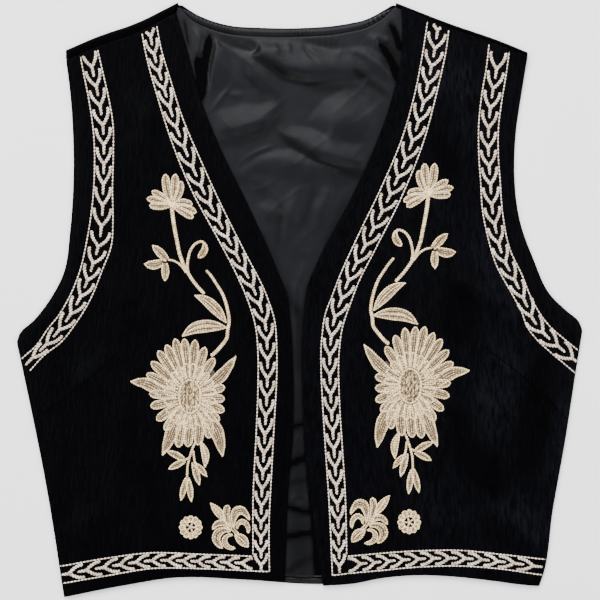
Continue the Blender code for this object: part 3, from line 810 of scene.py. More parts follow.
class Front:
    """One front: its cut, and the height of its cloth at any place."""

    def __init__(self, cut, folds, creases, dart, crinkle, seed):
        drop = np.array([0.0, cut["seam_drop"]])
        armhole = [*cut["armhole"][:-1], tuple(np.array(cut["armhole"][-1]) - drop)]
        shoulder = [np.array(p) - drop for p in cut["shoulder"]]
        shoulder[-1] = np.array(cut["neckline"][-1])
        breaks = (0, UNDERARM_SHARE, 1)
        bottom, top = edge([cut["hem"]]), edge([shoulder])
        outer = edge([cut["side_seam"], armhole], breaks)
        inner = edge([cut["opening"], cut["neckline"]], breaks)
        self.at = patch(bottom, top, outer, inner)
        share = np.linspace(0, 1, 61)
        self.outer, self.inner, self.seam = outer(share), inner(share), top(share)
        self.outline = np.vstack([bottom(share), inner(share)[1:], top(share)[::-1][1:],
                                  outer(share)[::-1][1:-1]])
        self.folds, self.creases, self.dart = folds, [*creases, dart], dart
        self.crinkle, self.seed = crinkle, seed

    def middle(self, x, y):
        """The height of the middle of the wall."""
        to_outer = np.abs(near_line(self.outer, x, y)[0])
        to_inner = np.abs(near_line(self.inner, x, y)[0])
        order = np.argsort(self.seam[:, 0])
        seam_y = np.interp(x, self.seam[order, 0], self.seam[order, 1])
        drop = EDGE_DROP * (1 - smooth(to_outer / EDGE_DROP_WIDTH))
        height = FRONT_MID - drop * smooth((seam_y - y) / SEAM_RISE)
        height += fold_height(x, y, self.folds) + crease_height(x, y, self.creases)
        wander = WANDER[0] * noise(x / WANDER[1], y / WANDER[2], self.seed)
        fine = noise((x + wander) / FINE_CRINKLE[0], y / FINE_CRINKLE[1], self.seed + 1)
        broad = noise((x - wander) / BROAD_CRINKLE[0], y / BROAD_CRINKLE[1], self.seed + 2)
        height += self.crinkle * (fine + BROAD_SHARE * broad)
        width, depth = STITCH_GROOVE
        for gap in (to_outer, to_inner):
            height -= depth * (1 - smooth(np.abs(gap - EDGE_STITCH) / width))
        return height

    def top(self, x, y):
        """The height of the upper face."""
        return self.middle(x, y) + CLOTH / 2

    def depth(self, x, y):
        """How far each place lies inside the outline, below 0 outside it."""
        closed = np.vstack([self.outline, self.outline[:1]])
        gap = np.abs(near_line(closed, x, y)[0])
        return np.where(is_inside(self.outline, x, y), gap, -gap)


def spaced(path, step):
    """Even points along a path, with their directions and distances from its start."""
    path = np.asarray(path, float)
    along = distances(path)
    s = np.linspace(0, along[-1], max(4, math.ceil(along[-1] / step) + 1))
    points = between(path, along, s)
    run = np.gradient(points, axis=0)
    run /= np.maximum(np.linalg.norm(run, axis=1), 1e-9)[:, None]
    return points, run, s


class Stitching:
    """Strands of thread on a surface, gathered into one mesh."""

    def __init__(self, surface, seed):
        self.surface = surface
        self.random = np.random.default_rng(seed)
        self.places, self.heights, self.shades, self.crests = [], [], [], []
        self.quads, self.count = [], 0

    def strand(self, path, width, kind, lift=0.0):
        """One row of stitches along a path, as a ribbed ribbon that lies lift above it."""
        stitch = STITCHES[kind]
        points, run, along = spaced(path, stitch["link"] / stitch["steps"])
        widths = np.atleast_1d(np.asarray(width, float))
        half = np.interp(along / along[-1], np.linspace(0, 1, len(widths)), widths) / 2
        half *= rounded(np.minimum(along, along[-1] - along), stitch["end"])
        across = half[:, None] * PROFILE[:, 0]
        lean = stitch["slant"] * across + stitch["vee"] * np.abs(across)
        phase = (along[:, None] + lean) / stitch["link"] + self.random.random()
        swell = np.abs(np.sin(math.pi * phase)) ** SWELL_POWER
        chance = 0.5 + 0.5 * scatter(np.floor(phase), self.count, 3)
        spread = across * (1 - stitch["pinch"] * (1 - swell))
        normal = left_of(run)
        self.places.append((points[:, None] + normal[:, None] * spread[..., None])
                           .reshape(-1, 2))
        height = stitch["height"] * PROFILE[:, 1] * (1 - stitch["dip"] * (1 - swell))
        self.heights.append((lift + height * (1 + UNEVEN * (chance - 0.5))).ravel())
        self.shades.append((stitch["shade"] + stitch["spread"] * (chance - 0.5)).ravel())
        # Crest is how high each place sits on its stitch; the thread's colour paints shade
        # where it is low
        self.crests.append((swell * (0.4 + 0.6 * PROFILE[:, 1].clip(0, 1))).ravel())
        self.quads.append(grid_cells(len(points), len(PROFILE))[:, ::-1] + self.count)
        self.count += len(points) * len(PROFILE)

    def clipped_strand(self, front, path, width, kind):
        """A row of stitches, left out where it runs off the front."""
        points = spaced(path, 0.5)[0]
        margin = np.where(points[:, 1] > SHOULDER_LEVEL, BAND_MARGIN[1], BAND_MARGIN[0])
        kept = np.flatnonzero(front.depth(points[:, 0], points[:, 1]) > margin)
        for part in np.split(kept, np.flatnonzero(np.diff(kept) > 1) + 1):
            if len(part) > 2:
                self.strand(points[part], width, kind)

    def petal(self, middle, half, lift=0.0):
        """A filled petal: a dark sheet of painted shade under it, rows of stitches and a
        light outline.
        """
        points, run, along = spaced(middle, 0.5)
        share = along / along[-1]
        widths = half(share)
        normal = left_of(run)
        self.strand(points, 2 * widths - SHADE_GROUND_INSET, "shade_ground", lift)
        inner = widths - OUTLINE_WIDTH * 0.8
        rows = round(2 * inner.max() / FILL_PITCH) if inner.max() > FILL_WIDTH / 2 else 0
        here = np.flatnonzero(inner > 0.3)
        for row in range(rows if len(here) > 3 else 0):
            offset = ((2 * row + 1) / rows - 1) * inner[here]
            row_widths = np.clip(2 * inner[here] / rows - FILL_GAP, 0.5, FILL_WIDTH)
            line = points[here] + normal[here] * offset[:, None]
            self.strand(line, row_widths, "fill", lift + 0.08)
        rim = np.maximum(widths - OUTLINE_WIDTH / 2, 0.05)[:, None] * normal
        round_it = np.vstack([points + rim, (points - rim)[::-1]])
        self.strand(round_it, OUTLINE_WIDTH, "outline", lift + 0.1)

    def piece(self, name, look):
        """The gathered mesh, laid on its surface."""
        places = np.vstack(self.places)
        heights = np.concatenate(self.heights) + self.surface(places[:, 0], places[:, 1])
        return new_piece(name, np.column_stack([places, heights]), np.vstack(self.quads),
                         look, {"shade": np.concatenate(self.shades),
                                "crest": np.concatenate(self.crests)})


def lobe_half(half):
    """Half widths of a petal that is narrow at its base and round at its tip."""
    size = half * PHOTO_SCALE
    return lambda t: size * np.interp(t, (0, 0.5, 1), (0.5, 1, 0.95)) * rounded(1 - t, 0.22)


def leaf_half(half):
    """Half widths of a leaf that is pointed at both ends."""
    size = half * PHOTO_SCALE
    return lambda t: size * np.maximum(np.sin(math.pi * np.clip(t, 0, 1)), 0.02) ** 0.75


def bud_half(half):
    """Half widths of a small pointed form that is broadest at its middle."""
    size = half * PHOTO_SCALE
    return lambda t: size * np.interp(t, (0, 0.2, 0.5, 0.8, 1), (0.6, 0.86, 1, 0.74, 0.14))


def sepal_half(half):
    """Half widths of a form that is broad at its base and pointed at its tip."""
    size = half * PHOTO_SCALE
    return lambda t: size * np.interp(t, (0, 0.45, 0.8, 1), (0.8, 1, 0.6, 0.1))


def table_half(halves):
    """Half widths of a form from a short table of them."""
    sizes = np.array(halves) * PHOTO_SCALE
    return lambda t: (np.interp(t, np.linspace(0, 1, len(sizes)), sizes)
                      * rounded(1 - t, 0.12) * rounded(t, 0.08))


def add_band(stitching, front, band):
    """One band: its two border lines and the row of forked stems between them."""
    edges = [spaced(at_photo(curve_line(band[key])), 1.0)[0]
             for key in ("first edge", "second edge")]
    share = np.linspace(0, 1, BAND_SAMPLES)
    first, second = [between(e, np.linspace(0, 1, len(e)), share) for e in edges]
    centre = (first + second) / 2
    along = distances(centre)
    half_width = np.linalg.norm(first - second, axis=1) / 2
    run = np.gradient(centre, axis=0)
    run /= np.linalg.norm(run, axis=1)[:, None]
    normal = left_of(run)
    inwards = (second - first) / np.linalg.norm(second - first, axis=1)[:, None]
    lines = (first + inwards * LINE_INSET, second - inwards * LINE_INSET)
    for line, trim in zip(lines, (0.0, band.get("trim", 0.0))):
        line = line[distances(line) < distances(line)[-1] - trim + 0.01]
        stitching.clipped_strand(front, line, LINE_WIDTH, "line")
    start, rows = band["repeats"]
    spacings = [spacing for number, spacing in rows for _ in range(number)]
    for place, spacing in zip(np.cumsum([start, *spacings]), [*spacings, spacings[-1]]):
        half = np.interp(place, along, half_width)

        def laid(points):
            p = np.array(points, float)
            s = place + p[:, 1] * spacing / REPEAT_SPACING
            out = p[:, :1] * half / REPEAT_HALF_WIDTH
            return between(centre, along, s) + out * between(normal, along, s)

        for side in (-1, 1):
            arm = curve_line([(across * side, down) for across, down in REPEAT_ARM], 5)
            stitching.clipped_strand(front, laid(arm), ARM_WIDTH, "arm")
        stitching.clipped_strand(front, laid(curve_line(REPEAT_STEM, 5)), STEM_WIDTHS,
                                 "arm")


def add_big_flower(stitching, place):
    """The large flower: outer petals, an inner ring of petals and an oval centre."""
    centre, core = np.array(FLOWER_CENTRE, float), np.array(FLOWER_CORE)
    # A dark sheet of painted shade under the whole flower
    upright = np.linspace(-1, 1, 25)
    points = centre + np.stack([0 * upright, upright], 1) * FLOWER_SHADE_GROUND[1]
    widths = 2 * FLOWER_SHADE_GROUND[0] * PHOTO_SCALE * np.sqrt(np.maximum(1 - upright**2, 0.001))
    stitching.strand(place(points), widths, "shade_ground")
    for tip in OUTER_TIPS:
        tip = np.array(tip)
        points = [centre + (tip - centre) * share for share in (OUTER_START, 0.75, 1)]
        stitching.petal(curve_line(place(points)), lobe_half(PETAL_HALF))
    for points, half in LOWER_PETALS:
        stitching.petal(curve_line(place(points)), lobe_half(half), 0.1)
    for k in range(INNER_PETALS):
        turn = 2 * math.pi * (k + 0.5) / INNER_PETALS
        points = [centre + ray(turn) * core * RING_START,
                  centre + ray(turn) * (core + INNER_RING) / 2,
                  centre + ray(turn) * np.array(INNER_RING)]
        stitching.petal(curve_line(place(points)), lobe_half(INNER_HALF), 0.3)
    oval = ray(np.linspace(0, 2 * math.pi, 60)) * core
    for row in range(-SEED_ROWS, SEED_ROWS + 1):
        across = (row + 0.3 * scatter(row, 1, 8)) / (SEED_ROWS + 1)
        reach = 0.94 * math.sqrt(1 - across * across)
        column = np.stack([across + 0.05 * np.sin(np.arange(9) * 2.4 + row * 1.9),
                           np.linspace(-reach, reach, 9)], 1)
        stitching.strand(place(centre + column * core), SEED_WIDTH, "seed", 0.5)
    stitching.strand(place(centre + oval), OVAL_WIDTH, "outline", 0.9)


def add_rosette(stitching, place):
    """The small round flower with a pierced middle."""
    centre = np.array(ROSETTE_CENTRE, float)
    start, end = ROSETTE_RADII
    for k in range(ROSETTE_PETALS):
        turn = 2 * math.pi * k / ROSETTE_PETALS
        points = [centre + ray(turn) * r for r in (start, (start + end) / 2, end)]
        stitching.petal(curve_line(place(points)), lobe_half(ROSETTE_HALF))
    ring = ray(np.linspace(0, 2 * math.pi, 30)) * (start + 0.6)
    stitching.strand(place(centre + ring), OUTLINE_WIDTH, "outline", 0.3)
    for k in range(ROSETTE_RAYS):
        turn = 2 * math.pi * (k + 0.25) / ROSETTE_RAYS
        points = [centre + ray(turn) * r for r in (0, start * 0.5, start)]
        stitching.strand(place(points), RAY_WIDTH, "stem", 0.15)


def add_flowers(stitching, place):
    """All the flowers, leaves and stems of one front."""
    for points, widths in STEMS:
        stitching.strand(place(curve_line(points)), np.array(widths) * PHOTO_SCALE, "stem")
    for points, half in LEAVES:
        middle = place(curve_line(points))
        stitching.petal(middle, leaf_half(half), 0.1)
        stitching.strand(middle[len(middle) // 8:-len(middle) // 8], OUTLINE_WIDTH,
                         "outline", 0.35)
    for forms, form_half, lift in ((TOP_FLOWER, lobe_half, 0.05), (SMALL_BUD, bud_half, 0.05),
                                   (TULIPS, bud_half, 0.05), (SEPALS, sepal_half, 0.15),
                                   ((CURL_BALL,), table_half, 0.1),
                                   (PALMETTE, table_half, 0.05)):
        for points, half in forms:
            stitching.petal(place(curve_line(points)), form_half(half), lift)
    for points, widths in PALMETTE_SLIT:
        stitching.strand(place(curve_line(points)), np.array(widths) * PHOTO_SCALE, "stem",
                         0.4)
    add_big_flower(stitching, place)
    add_rosette(stitching, place)


def edge_x(cut):
    """A function from y to the x of a front's inner edge."""
    line = np.vstack([curve_line(cut["opening"]), curve_line(cut["neckline"])])
    return lambda y: np.interp(y, line[:, 1], line[:, 0])


def from_edges(x, y):
    """How far each place of the lining lies from the nearer front's inner edge."""
    return np.minimum(x - edge_x(RIGHT)(y), edge_x(LEFT)(y) - x)


def edge_y(points):
    """A function from x to the y of an edge whose points run towards +X."""
    line = curve_line(points)
    return lambda x: np.interp(x, line[:, 0], line[:, 1])


def back_patch(shoulder_columns, neck_columns):
    """The back panel's outline as a patch, and the share at which its neck starts."""
    sides = [edge([side["side_seam"], side["armhole"]], (0, UNDERARM_SHARE, 1))
             for side in (RIGHT, LEFT)]
    neck_start = shoulder_columns / (2 * shoulder_columns + neck_columns)
    top = edge([RIGHT["shoulder"], BACK_NECK, LEFT["shoulder"][::-1]],
               (0, neck_start, 1 - neck_start, 1))
    return patch(edge([BACK_HEM]), top, *sides), neck_start


def make_back(look):
    """The flat back and the rolls that come forward over its shoulders."""
    at, _ = back_patch(SHOULDER_COLUMNS, NECK_COLUMNS)
    columns = 2 * SHOULDER_COLUMNS + NECK_COLUMNS
    shoulders = [np.arange(0, SHOULDER_COLUMNS + 1),
                 np.arange(columns - SHOULDER_COLUMNS, columns + 1)]
    u = np.linspace(0, 1, columns + 1)
    heights = np.linalg.norm(at(u, np.ones_like(u)) - at(u, np.zeros_like(u)), axis=-1)
    v = np.array([with_borders(BACK_ROWS, height) for height in heights]).T
    places = at(np.broadcast_to(u, v.shape), v)
    rim = rounded(np.minimum(v, 1 - v) * heights)
    for shoulder in shoulders:
        rim[-len(BORDER_ROWS):, shoulder] = 1
        places[-1, shoulder, 1] -= ROLL_REACH
        for row in range(-len(BORDER_ROWS) - 1, -1):
            places[row, shoulder, 1] = np.minimum(places[row, shoulder, 1],
                                                  places[-1, shoulder, 1]
                                                  + ROW_STEP * (row + 1))
    height, width, length = BACK_WAVE
    wave = height * noise(places[..., 0] / width, places[..., 1] / length, 5) * (rim > 0.99)
    lower = np.dstack([places, BACK_MID - CLOTH / 2 * rim])
    upper = np.dstack([places, BACK_MID + CLOTH / 2 * rim
                       + WAVE_SHARE * np.minimum(wave, 0)])
    lower, upper = lower.reshape(-1, 3), upper.reshape(-1, 3)
    cells = [grid_cells(*v.shape)]
    for shoulder, side in zip(shoulders, (RIGHT, LEFT)):
        previous = (v.shape[0] - 1) * (columns + 1) + shoulder
        neck_shift = side["neckline"][-1][0] - side["shoulder"][-1][0]
        fold = at(shoulder / columns, np.ones(len(shoulder)))
        to_neck = (shoulder - shoulder[0]) / SHOULDER_COLUMNS
        to_neck = 1 - to_neck if side is LEFT else to_neck
        for step in range(1, ROLL_STEPS + 2):
            angle = math.pi * min(step, ROLL_STEPS) / ROLL_STEPS
            x, flap = fold[:, 0], 0.0
            if step > ROLL_STEPS:
                flap = side["seam_drop"] - SEAM_GAP - ROLL_REACH
                x = x + neck_shift * smooth((to_neck - 1 + FLAP_TURN) / FLAP_TURN)
            ring = len(lower) + np.arange(len(shoulder))
            rows = [np.column_stack([
                x, fold[:, 1] - ROLL_REACH + radius * math.sin(angle) - flap,
                np.full(len(x), BACK_MID + ROLL_RADIUS - radius * math.cos(angle))])
                for radius in (ROLL_RADIUS + CLOTH / 2, ROLL_RADIUS - CLOTH / 2)]
            lower, upper = np.vstack([lower, rows[0]]), np.vstack([upper, rows[1]])
            cells.append(np.stack([previous[:-1], previous[1:], ring[1:], ring[:-1]], 1))
            previous = ring
    return shell("back_cloth", lower, upper, np.vstack(cells), look)


def lining_height(x, y):
    """The height of the middle of the loose lining."""
    inside = from_edges(x, y)
    below = edge_y(BACK_NECK)(x) - NECK_STITCH - y
    free = smooth((inside - FOLD_FREE) / FOLD_RISE) * smooth(below / NECK_RISE)
    warp_x, warp_y = x, y
    for k, (reach, size) in enumerate(WARPS):
        warp_x = warp_x + reach * noise(x / size, y / size, 13 + k)
        warp_y = warp_y + reach * noise(x / size, y / size, 15 + k)
    folds = (crease_height(warp_x, warp_y, LINING_BANKS, BANK_EASE, 2)
             + crease_height(x, y, LINING_CREASES, CREASE_EASE))
    slant, rise = 0.8 * x + 0.6 * y, 0.8 * y - 0.6 * x    # axes turned by 37 degrees
    ripple = (SWELL * noise(x / 44, y / 40, 17) + RIPPLE * noise(slant / 17, rise / 26, 11)
              + RIPPLE * (1 - np.abs(noise(slant / 46, rise / 17, 18))) ** 5
              + RIPPLE * (1 - np.abs(noise(rise / 40, slant / 15, 19))) ** 6)
    gather = np.abs(np.sin(math.pi * (x / GATHER_PITCH + noise(x / 16, y / 30, 20)))) ** 1.5
    strength = 0.12 + 0.5 * smooth(noise(x / 26, y * 0, 23) + 0.3)
    deep = crease_height(x, y, DEEP_HOLLOWS, HOLLOW_EASE)
    flat = 1 - DEEP_FLATNESS * smooth(deep / DEEP_LEVEL)
    gather = (strength * gather * np.exp(-np.maximum(below, 0) / GATHER_REACH)
              * smooth(below / 2.5))
    return (LINING_MID + np.maximum(folds + ripple, 0) * free * flat
            + gather * smooth(inside / 8)
            + np.maximum(crease_height(x, y, GAP_CREASES) + GAP_RISE, 0)
            * smooth(inside / GAP_EASE))


def lining_shade(x, y):
    """How much painted shade each place of the lining gets, from 0 to 1."""
    lit = np.ones(np.shape(x))
    for painted_shade in (*PAINTED_SHADES, *DEEP_HOLLOWS):
        lit *= 1 - np.minimum(crease_height(x, y, (painted_shade,), HOLLOW_EASE), 1)
    return 1 - lit


def lining_ends(at, neck_start, u):
    """Where the lining's body starts and ends in each column, as shares of its height."""
    height = (at(u, np.ones_like(u)) - at(u, np.zeros_like(u)))[:, 1]
    neck_share = (smooth((u - neck_start) / NECK_EASE)
                  * smooth((1 - neck_start - u) / NECK_EASE))
    inset = LINING_SHOULDER_INSET + (NECK_STITCH - LINING_SHOULDER_INSET) * neck_share
    return HEM_STITCH / height, 1 - inset / height, height, neck_share


def make_lining(look):
    """The satin lining's loose body between the stitch lines at neck and hem, with painted
    shade.
    """
    at, neck_start = back_patch(SHOULDER_COLUMNS, NECK_COLUMNS)
    share = np.linspace(0, 1, LINING_COLUMNS + 1)
    u = np.interp(share, (0, 0.1, 0.9, 1), (LINING_SIDE_INSET, 0.27, 0.73,
                                            1 - LINING_SIDE_INSET))
    start, end, _, _ = lining_ends(at, neck_start, u)
    low, high = LINING_ROWS
    rows = np.concatenate([np.linspace(0, 0.43, low), np.linspace(0.43, 1, high)[1:]])
    v = start + (end - start) * rows[:, None]
    places = at(np.broadcast_to(u, v.shape), v)
    x, y = places[..., 0], places[..., 1]
    middle = lining_height(x, y)
    return sheet_shell("lining", places, middle, SATIN, np.ones_like(middle), look,
                       {"painted_shade": lining_shade(x, y)})


def make_strip(name, look, at_neck):
    """The lining's rolled strip beyond the stitch line at the neck or at the hem, with
    painted shade.
    """
    at, neck_start = back_patch(SHOULDER_COLUMNS, NECK_COLUMNS)
    if at_neck:
        u = np.linspace(neck_start, 1 - neck_start, STRIP_COLUMNS + 1)
    else:
        share = np.linspace(0, 1, STRIP_COLUMNS // 2 + 1)
        u = np.interp(share, (0, 0.2, 0.8, 1), (LINING_SIDE_INSET, 0.44, 0.56,
                                                1 - LINING_SIDE_INSET))
    start, end, height, neck_share = lining_ends(at, neck_start, u)
    t = np.linspace(0, 1, STRIP_ROWS)[:, None]
    if at_neck:
        outer = 1 - (LINING_SHOULDER_INSET
                     + (LINING_NECK_INSET - LINING_SHOULDER_INSET) * neck_share) / height
        v = end + (outer - end + 1e-5) * t
    else:
        v = LINING_HEM_INSET / height + (start - LINING_HEM_INSET / height) * t
    places = at(np.broadcast_to(u, v.shape), v)
    x, y = places[..., 0], places[..., 1]
    inside = from_edges(x, y)
    puff = STRIP_PUFF * np.sin(math.pi * np.clip(t, 0, 1)) ** 0.7
    slope = PUCKER_LEAN * t + 1.2 * noise(x / 14, t * 0, 21)
    pucker = np.sin(math.pi * (x + slope) / PUCKER_PITCH) ** 2
    strength = np.clip(0.4 + 0.6 * smooth((np.abs(x) - CALM_HALF) / CALM_EASE)
                       + 0.4 * noise(x / 22, t * 0, 22), 0, 1)
    share_in = neck_share if at_neck else 1.0
    raised = (puff * (1 - PUCKER_DEPTH * strength * (1 - pucker)) * smooth(inside / 7)
              * share_in)
    # Painted shade in the valleys between puckers and along the stitch line at the strip's
    # near edge
    shade = np.maximum(smooth(1.15 * strength * (1 - pucker)), 0.9 * (1 - smooth(t / 0.2)))
    return sheet_shell(name, places, LINING_MID + raised, SATIN,
                       0.25 + 0.75 * np.sin(math.pi * np.clip(t, 0.1, 0.9))
                       * np.ones_like(x), look, {"painted_shade": shade})


def make_front(name, front, painted_highlight, look):
    """The crinkled cloth of one front, with its share of painted highlight stored on the
    mesh.
    """
    rows, columns = FRONT_GRID
    places, rim = bordered_grid(front.at, rows, columns)
    x, y = places[..., 0], places[..., 1]
    share, places_lit = painted_highlight
    lit = np.clip(share + crease_height(x, y, places_lit, CREASE_EASE), 0, 1)
    return sheet_shell(name, places, front.middle(x, y), CLOTH, rim, look, {"painted_highlight": lit})


def black_stitches(fronts, look):
    """The black stitch lines along the edges, the neck and the hem."""
    made = []
    for name, front in fronts.items():
        stitching = Stitching(front.top, 31)
        for line in (front.outer, front.inner):
            points, run, _ = spaced(line, 2.0)
            normal = left_of(run)
            probe = (points + normal * 2)[len(points) // 2][:, None]
            sign = 1 if front.depth(*probe)[0] > 0 else -1
            stitching.clipped_strand(front, points + normal * sign * EDGE_STITCH,
                                     BLACK_WIDTH, "black")
        stitching.clipped_strand(front, at_photo(curve_line(front.dart[0])), DART_WIDTH,
                                 "black")
        made.append(stitching.piece(name + "_edge_stitches", look))
    at, neck_start = back_patch(SHOULDER_COLUMNS, NECK_COLUMNS)
    stitching = Stitching(lambda x, y: np.full(np.shape(x), LINING_MID + SATIN / 2), 32)
    neck = (neck_start + NECK_STITCH_INSET, 1 - neck_start - NECK_STITCH_INSET, 200)
    for (first, last, count), edge_row in ((neck, 1), (HEM_STITCH_SHARES, 0)):
        u = np.linspace(first, last, count)
        stitching.strand(at(u, lining_ends(at, neck_start, u)[edge_row]), LINING_STITCH_WIDTH,
                         "black", 0.05)
    made.append(stitching.piece("lining_stitches", look))
    return made


def new_material(name):
    """An empty Principled material, with its tree, shader and object coordinates."""
    made = bpy.data.materials.new(name)
    made.use_nodes = True
    tree = made.node_tree
    shader = tree.nodes["Principled BSDF"]
    place = tree.nodes.new("ShaderNodeTexCoord").outputs["Object"]
    return made, tree, shader, place


def stretched_noise(tree, place, scale, detail=3.0):
    """Noise with its own size along each axis. Scale is in bumps per metre."""
    mapping = tree.nodes.new("ShaderNodeMapping")
    mapping.inputs["Scale"].default_value = scale
    tree.links.new(place, mapping.inputs["Vector"])
    texture = tree.nodes.new("ShaderNodeTexNoise")
    texture.inputs["Scale"].default_value = 1.0
    texture.inputs["Detail"].default_value = detail
    tree.links.new(mapping.outputs["Vector"], texture.inputs["Vector"])
    return texture.outputs["Fac"]


def stored(tree, name):
    """The node that reads a value stored on the mesh."""
    node = tree.nodes.new("ShaderNodeAttribute")
    node.attribute_name = name
    return node


def colour_ramp(tree, value, stops):
    """A colour from a number. Stops are (place, colour)."""
    ramp = tree.nodes.new("ShaderNodeValToRGB")
    elements = ramp.color_ramp.elements
    while len(elements) < len(stops):
        elements.new(0.5)
    for element, (place, colour) in zip(elements, stops):
        element.position = place
        element.color = (*colour, 1)
    tree.links.new(value, ramp.inputs["Fac"])
    return ramp.outputs["Color"]


def mixed(tree, how, first, second):
    """Two colours mixed in one of the mix node's ways."""
    mix = tree.nodes.new("ShaderNodeMix")
    mix.data_type, mix.blend_type = "RGBA", how
    mix.inputs["Factor"].default_value = 1.0
    colours = [socket for socket in mix.inputs if socket.type == "RGBA"]
    for value, socket in zip((first, second), colours):
        tree.links.new(value, socket)
    return [socket for socket in mix.outputs if socket.type == "RGBA"][0]


def ranged(tree, value, low, high):
    """A number from 0..1 spread from low to high."""
    node = tree.nodes.new("ShaderNodeMapRange")
    node.inputs["To Min"].default_value = low
    node.inputs["To Max"].default_value = high
    tree.links.new(value, node.inputs["Value"])
    return node.outputs["Result"]


def add_bumps(tree, shader, bumps):
    """Bumps on top of each other, each as (height, strength, distance in metres)."""
    normal = None
    for height, strength, distance in bumps:
        node = tree.nodes.new("ShaderNodeBump")
        node.inputs["Strength"].default_value = strength
        node.inputs["Distance"].default_value = distance
        tree.links.new(height, node.inputs["Height"])
        if normal is not None:
            tree.links.new(normal, node.inputs["Normal"])
        normal = node.outputs["Normal"]
    tree.links.new(normal, shader.inputs["Normal"])


def outer_cloth():
    """Matt black cotton with an upright crinkle and a plain weave, and a painted highlight on
    its ridges.
    """
    made, tree, shader, place = new_material("outer_cloth")
    crinkle = stretched_noise(tree, place, (480, 95, 90), 3)
    blotch = stretched_noise(tree, place, (38, 16, 20), 4)
    weave = stretched_noise(tree, place, (1900, 1300, 1500), 2)
    colour = colour_ramp(tree, blotch, ((0.3, (0.0002, 0.0002, 0.0004)),
                                        (0.7, (0.0006, 0.0006, 0.0010))))
    painted_highlight = stored(tree, "painted_highlight")
    # Painted highlight: lighter colour on the crinkle's ridges, as much as the mesh's stored
    # share asks
    ridge_highlight = colour_ramp(tree, crinkle, ((0.34, (0, 0, 0)), (0.72, (0.0036, 0.0037, 0.0056))))
    lit = mixed(tree, "MULTIPLY", ridge_highlight, painted_highlight.outputs["Color"])
    tree.links.new(mixed(tree, "ADD", colour, lit), shader.inputs["Base Color"])
    tree.links.new(ranged(tree, weave, 0.36, 0.5), shader.inputs["Roughness"])
    shader.inputs["Specular IOR Level"].default_value = 0.016
    add_bumps(tree, shader, ((crinkle, 0.8, 0.0016), (weave, 0.5, 0.0002)))
    return made


def satin_lining():
    """Black satin with a soft sheen, darkened by painted shade in its folds and hollows."""
    made, tree, shader, place = new_material("satin_lining")
    tone = stretched_noise(tree, place, (60, 24, 40), 3)
    fine = stretched_noise(tree, place, (300, 2400, 900), 2)
    soft = stretched_noise(tree, place, (120, 90, 100), 3)
    colour = colour_ramp(tree, tone, ((0.3, (0.0022, 0.0023, 0.0034)),
                                      (0.7, (0.0036, 0.0037, 0.0054))))
    painted_shade = stored(tree, "painted_shade")
    # Painted shade: the value stored on the mesh darkens the colour and lowers the roughness
    shade = colour_ramp(tree, painted_shade.outputs["Fac"], ((0.0, (1, 1, 1)),
                                                      (0.9, (0.08, 0.08, 0.09))))
    tree.links.new(mixed(tree, "MULTIPLY", colour, shade), shader.inputs["Base Color"])
    rough = tree.nodes.new("ShaderNodeMath")
    rough.operation = "SUBTRACT"
    tree.links.new(ranged(tree, fine, 0.47, 0.57), rough.inputs[0])
    gloss = colour_ramp(tree, painted_shade.outputs["Fac"], ((0.0, (0, 0, 0)),
                                                      (0.9, (0.13, 0.13, 0.13)),
                                                      (1.0, (0.36, 0.36, 0.36))))
    tree.links.new(gloss, rough.inputs[1])
    tree.links.new(rough.outputs["Value"], shader.inputs["Roughness"])
    shader.inputs["Specular IOR Level"].default_value = 0.115
    add_bumps(tree, shader, ((soft, 0.25, 0.0012), (fine, 0.2, 0.0001)))
    return made


def embroidery_thread(name, tint):
    """Cream cotton thread, with painted shade in the hollows between its stitches."""
    made, tree, shader, place = new_material(name)
    shade, crest = stored(tree, "shade"), stored(tree, "crest")
    fibre = stretched_noise(tree, place, (1500, 1500, 1500), 3)
    fleck = stretched_noise(tree, place, (520, 520, 520), 3)
    tones = ((0.0, THREAD_SHADOW), (0.45, THREAD_MIDDLE), (1.0, THREAD_LIGHT))
    stops = [(stop, tuple(np.multiply(tone, tint))) for stop, tone in tones]
    light = colour_ramp(tree, shade.outputs["Fac"], stops)
    # Painted shade: darker colour where a stitch sinks between its neighbours
    painted_shade = colour_ramp(tree, crest.outputs["Fac"], ((0.08, (0.10, 0.07, 0.04)),
                                                      (0.7, (1, 1, 1))))
    specks = colour_ramp(tree, fleck, ((0.34, (0.55, 0.46, 0.36)), (0.5, (1, 1, 1))))
    colour = mixed(tree, "MULTIPLY", mixed(tree, "MULTIPLY", light, painted_shade), specks)
    tree.links.new(colour, shader.inputs["Base Color"])
    tree.links.new(ranged(tree, fibre, 0.55, 0.75), shader.inputs["Roughness"])
    shader.inputs["Sheen Weight"].default_value = 0.15
    add_bumps(tree, shader, ((fibre, 0.5, 0.0002),))
    return made


def black_thread():
    """Black sewing thread."""
    made, tree, shader, place = new_material("black_thread")
    fibre = stretched_noise(tree, place, (2200, 2200, 2200), 2)
    colour = colour_ramp(tree, fibre, ((0.3, (0.0002, 0.0002, 0.0003)),
                                       (0.7, (0.0005, 0.0005, 0.0008))))
    tree.links.new(colour, shader.inputs["Base Color"])
    tree.links.new(ranged(tree, fibre, 0.45, 0.6), shader.inputs["Roughness"])
    shader.inputs["Specular IOR Level"].default_value = 0.01
    add_bumps(tree, shader, ((fibre, 0.4, 0.0001),))
    return made


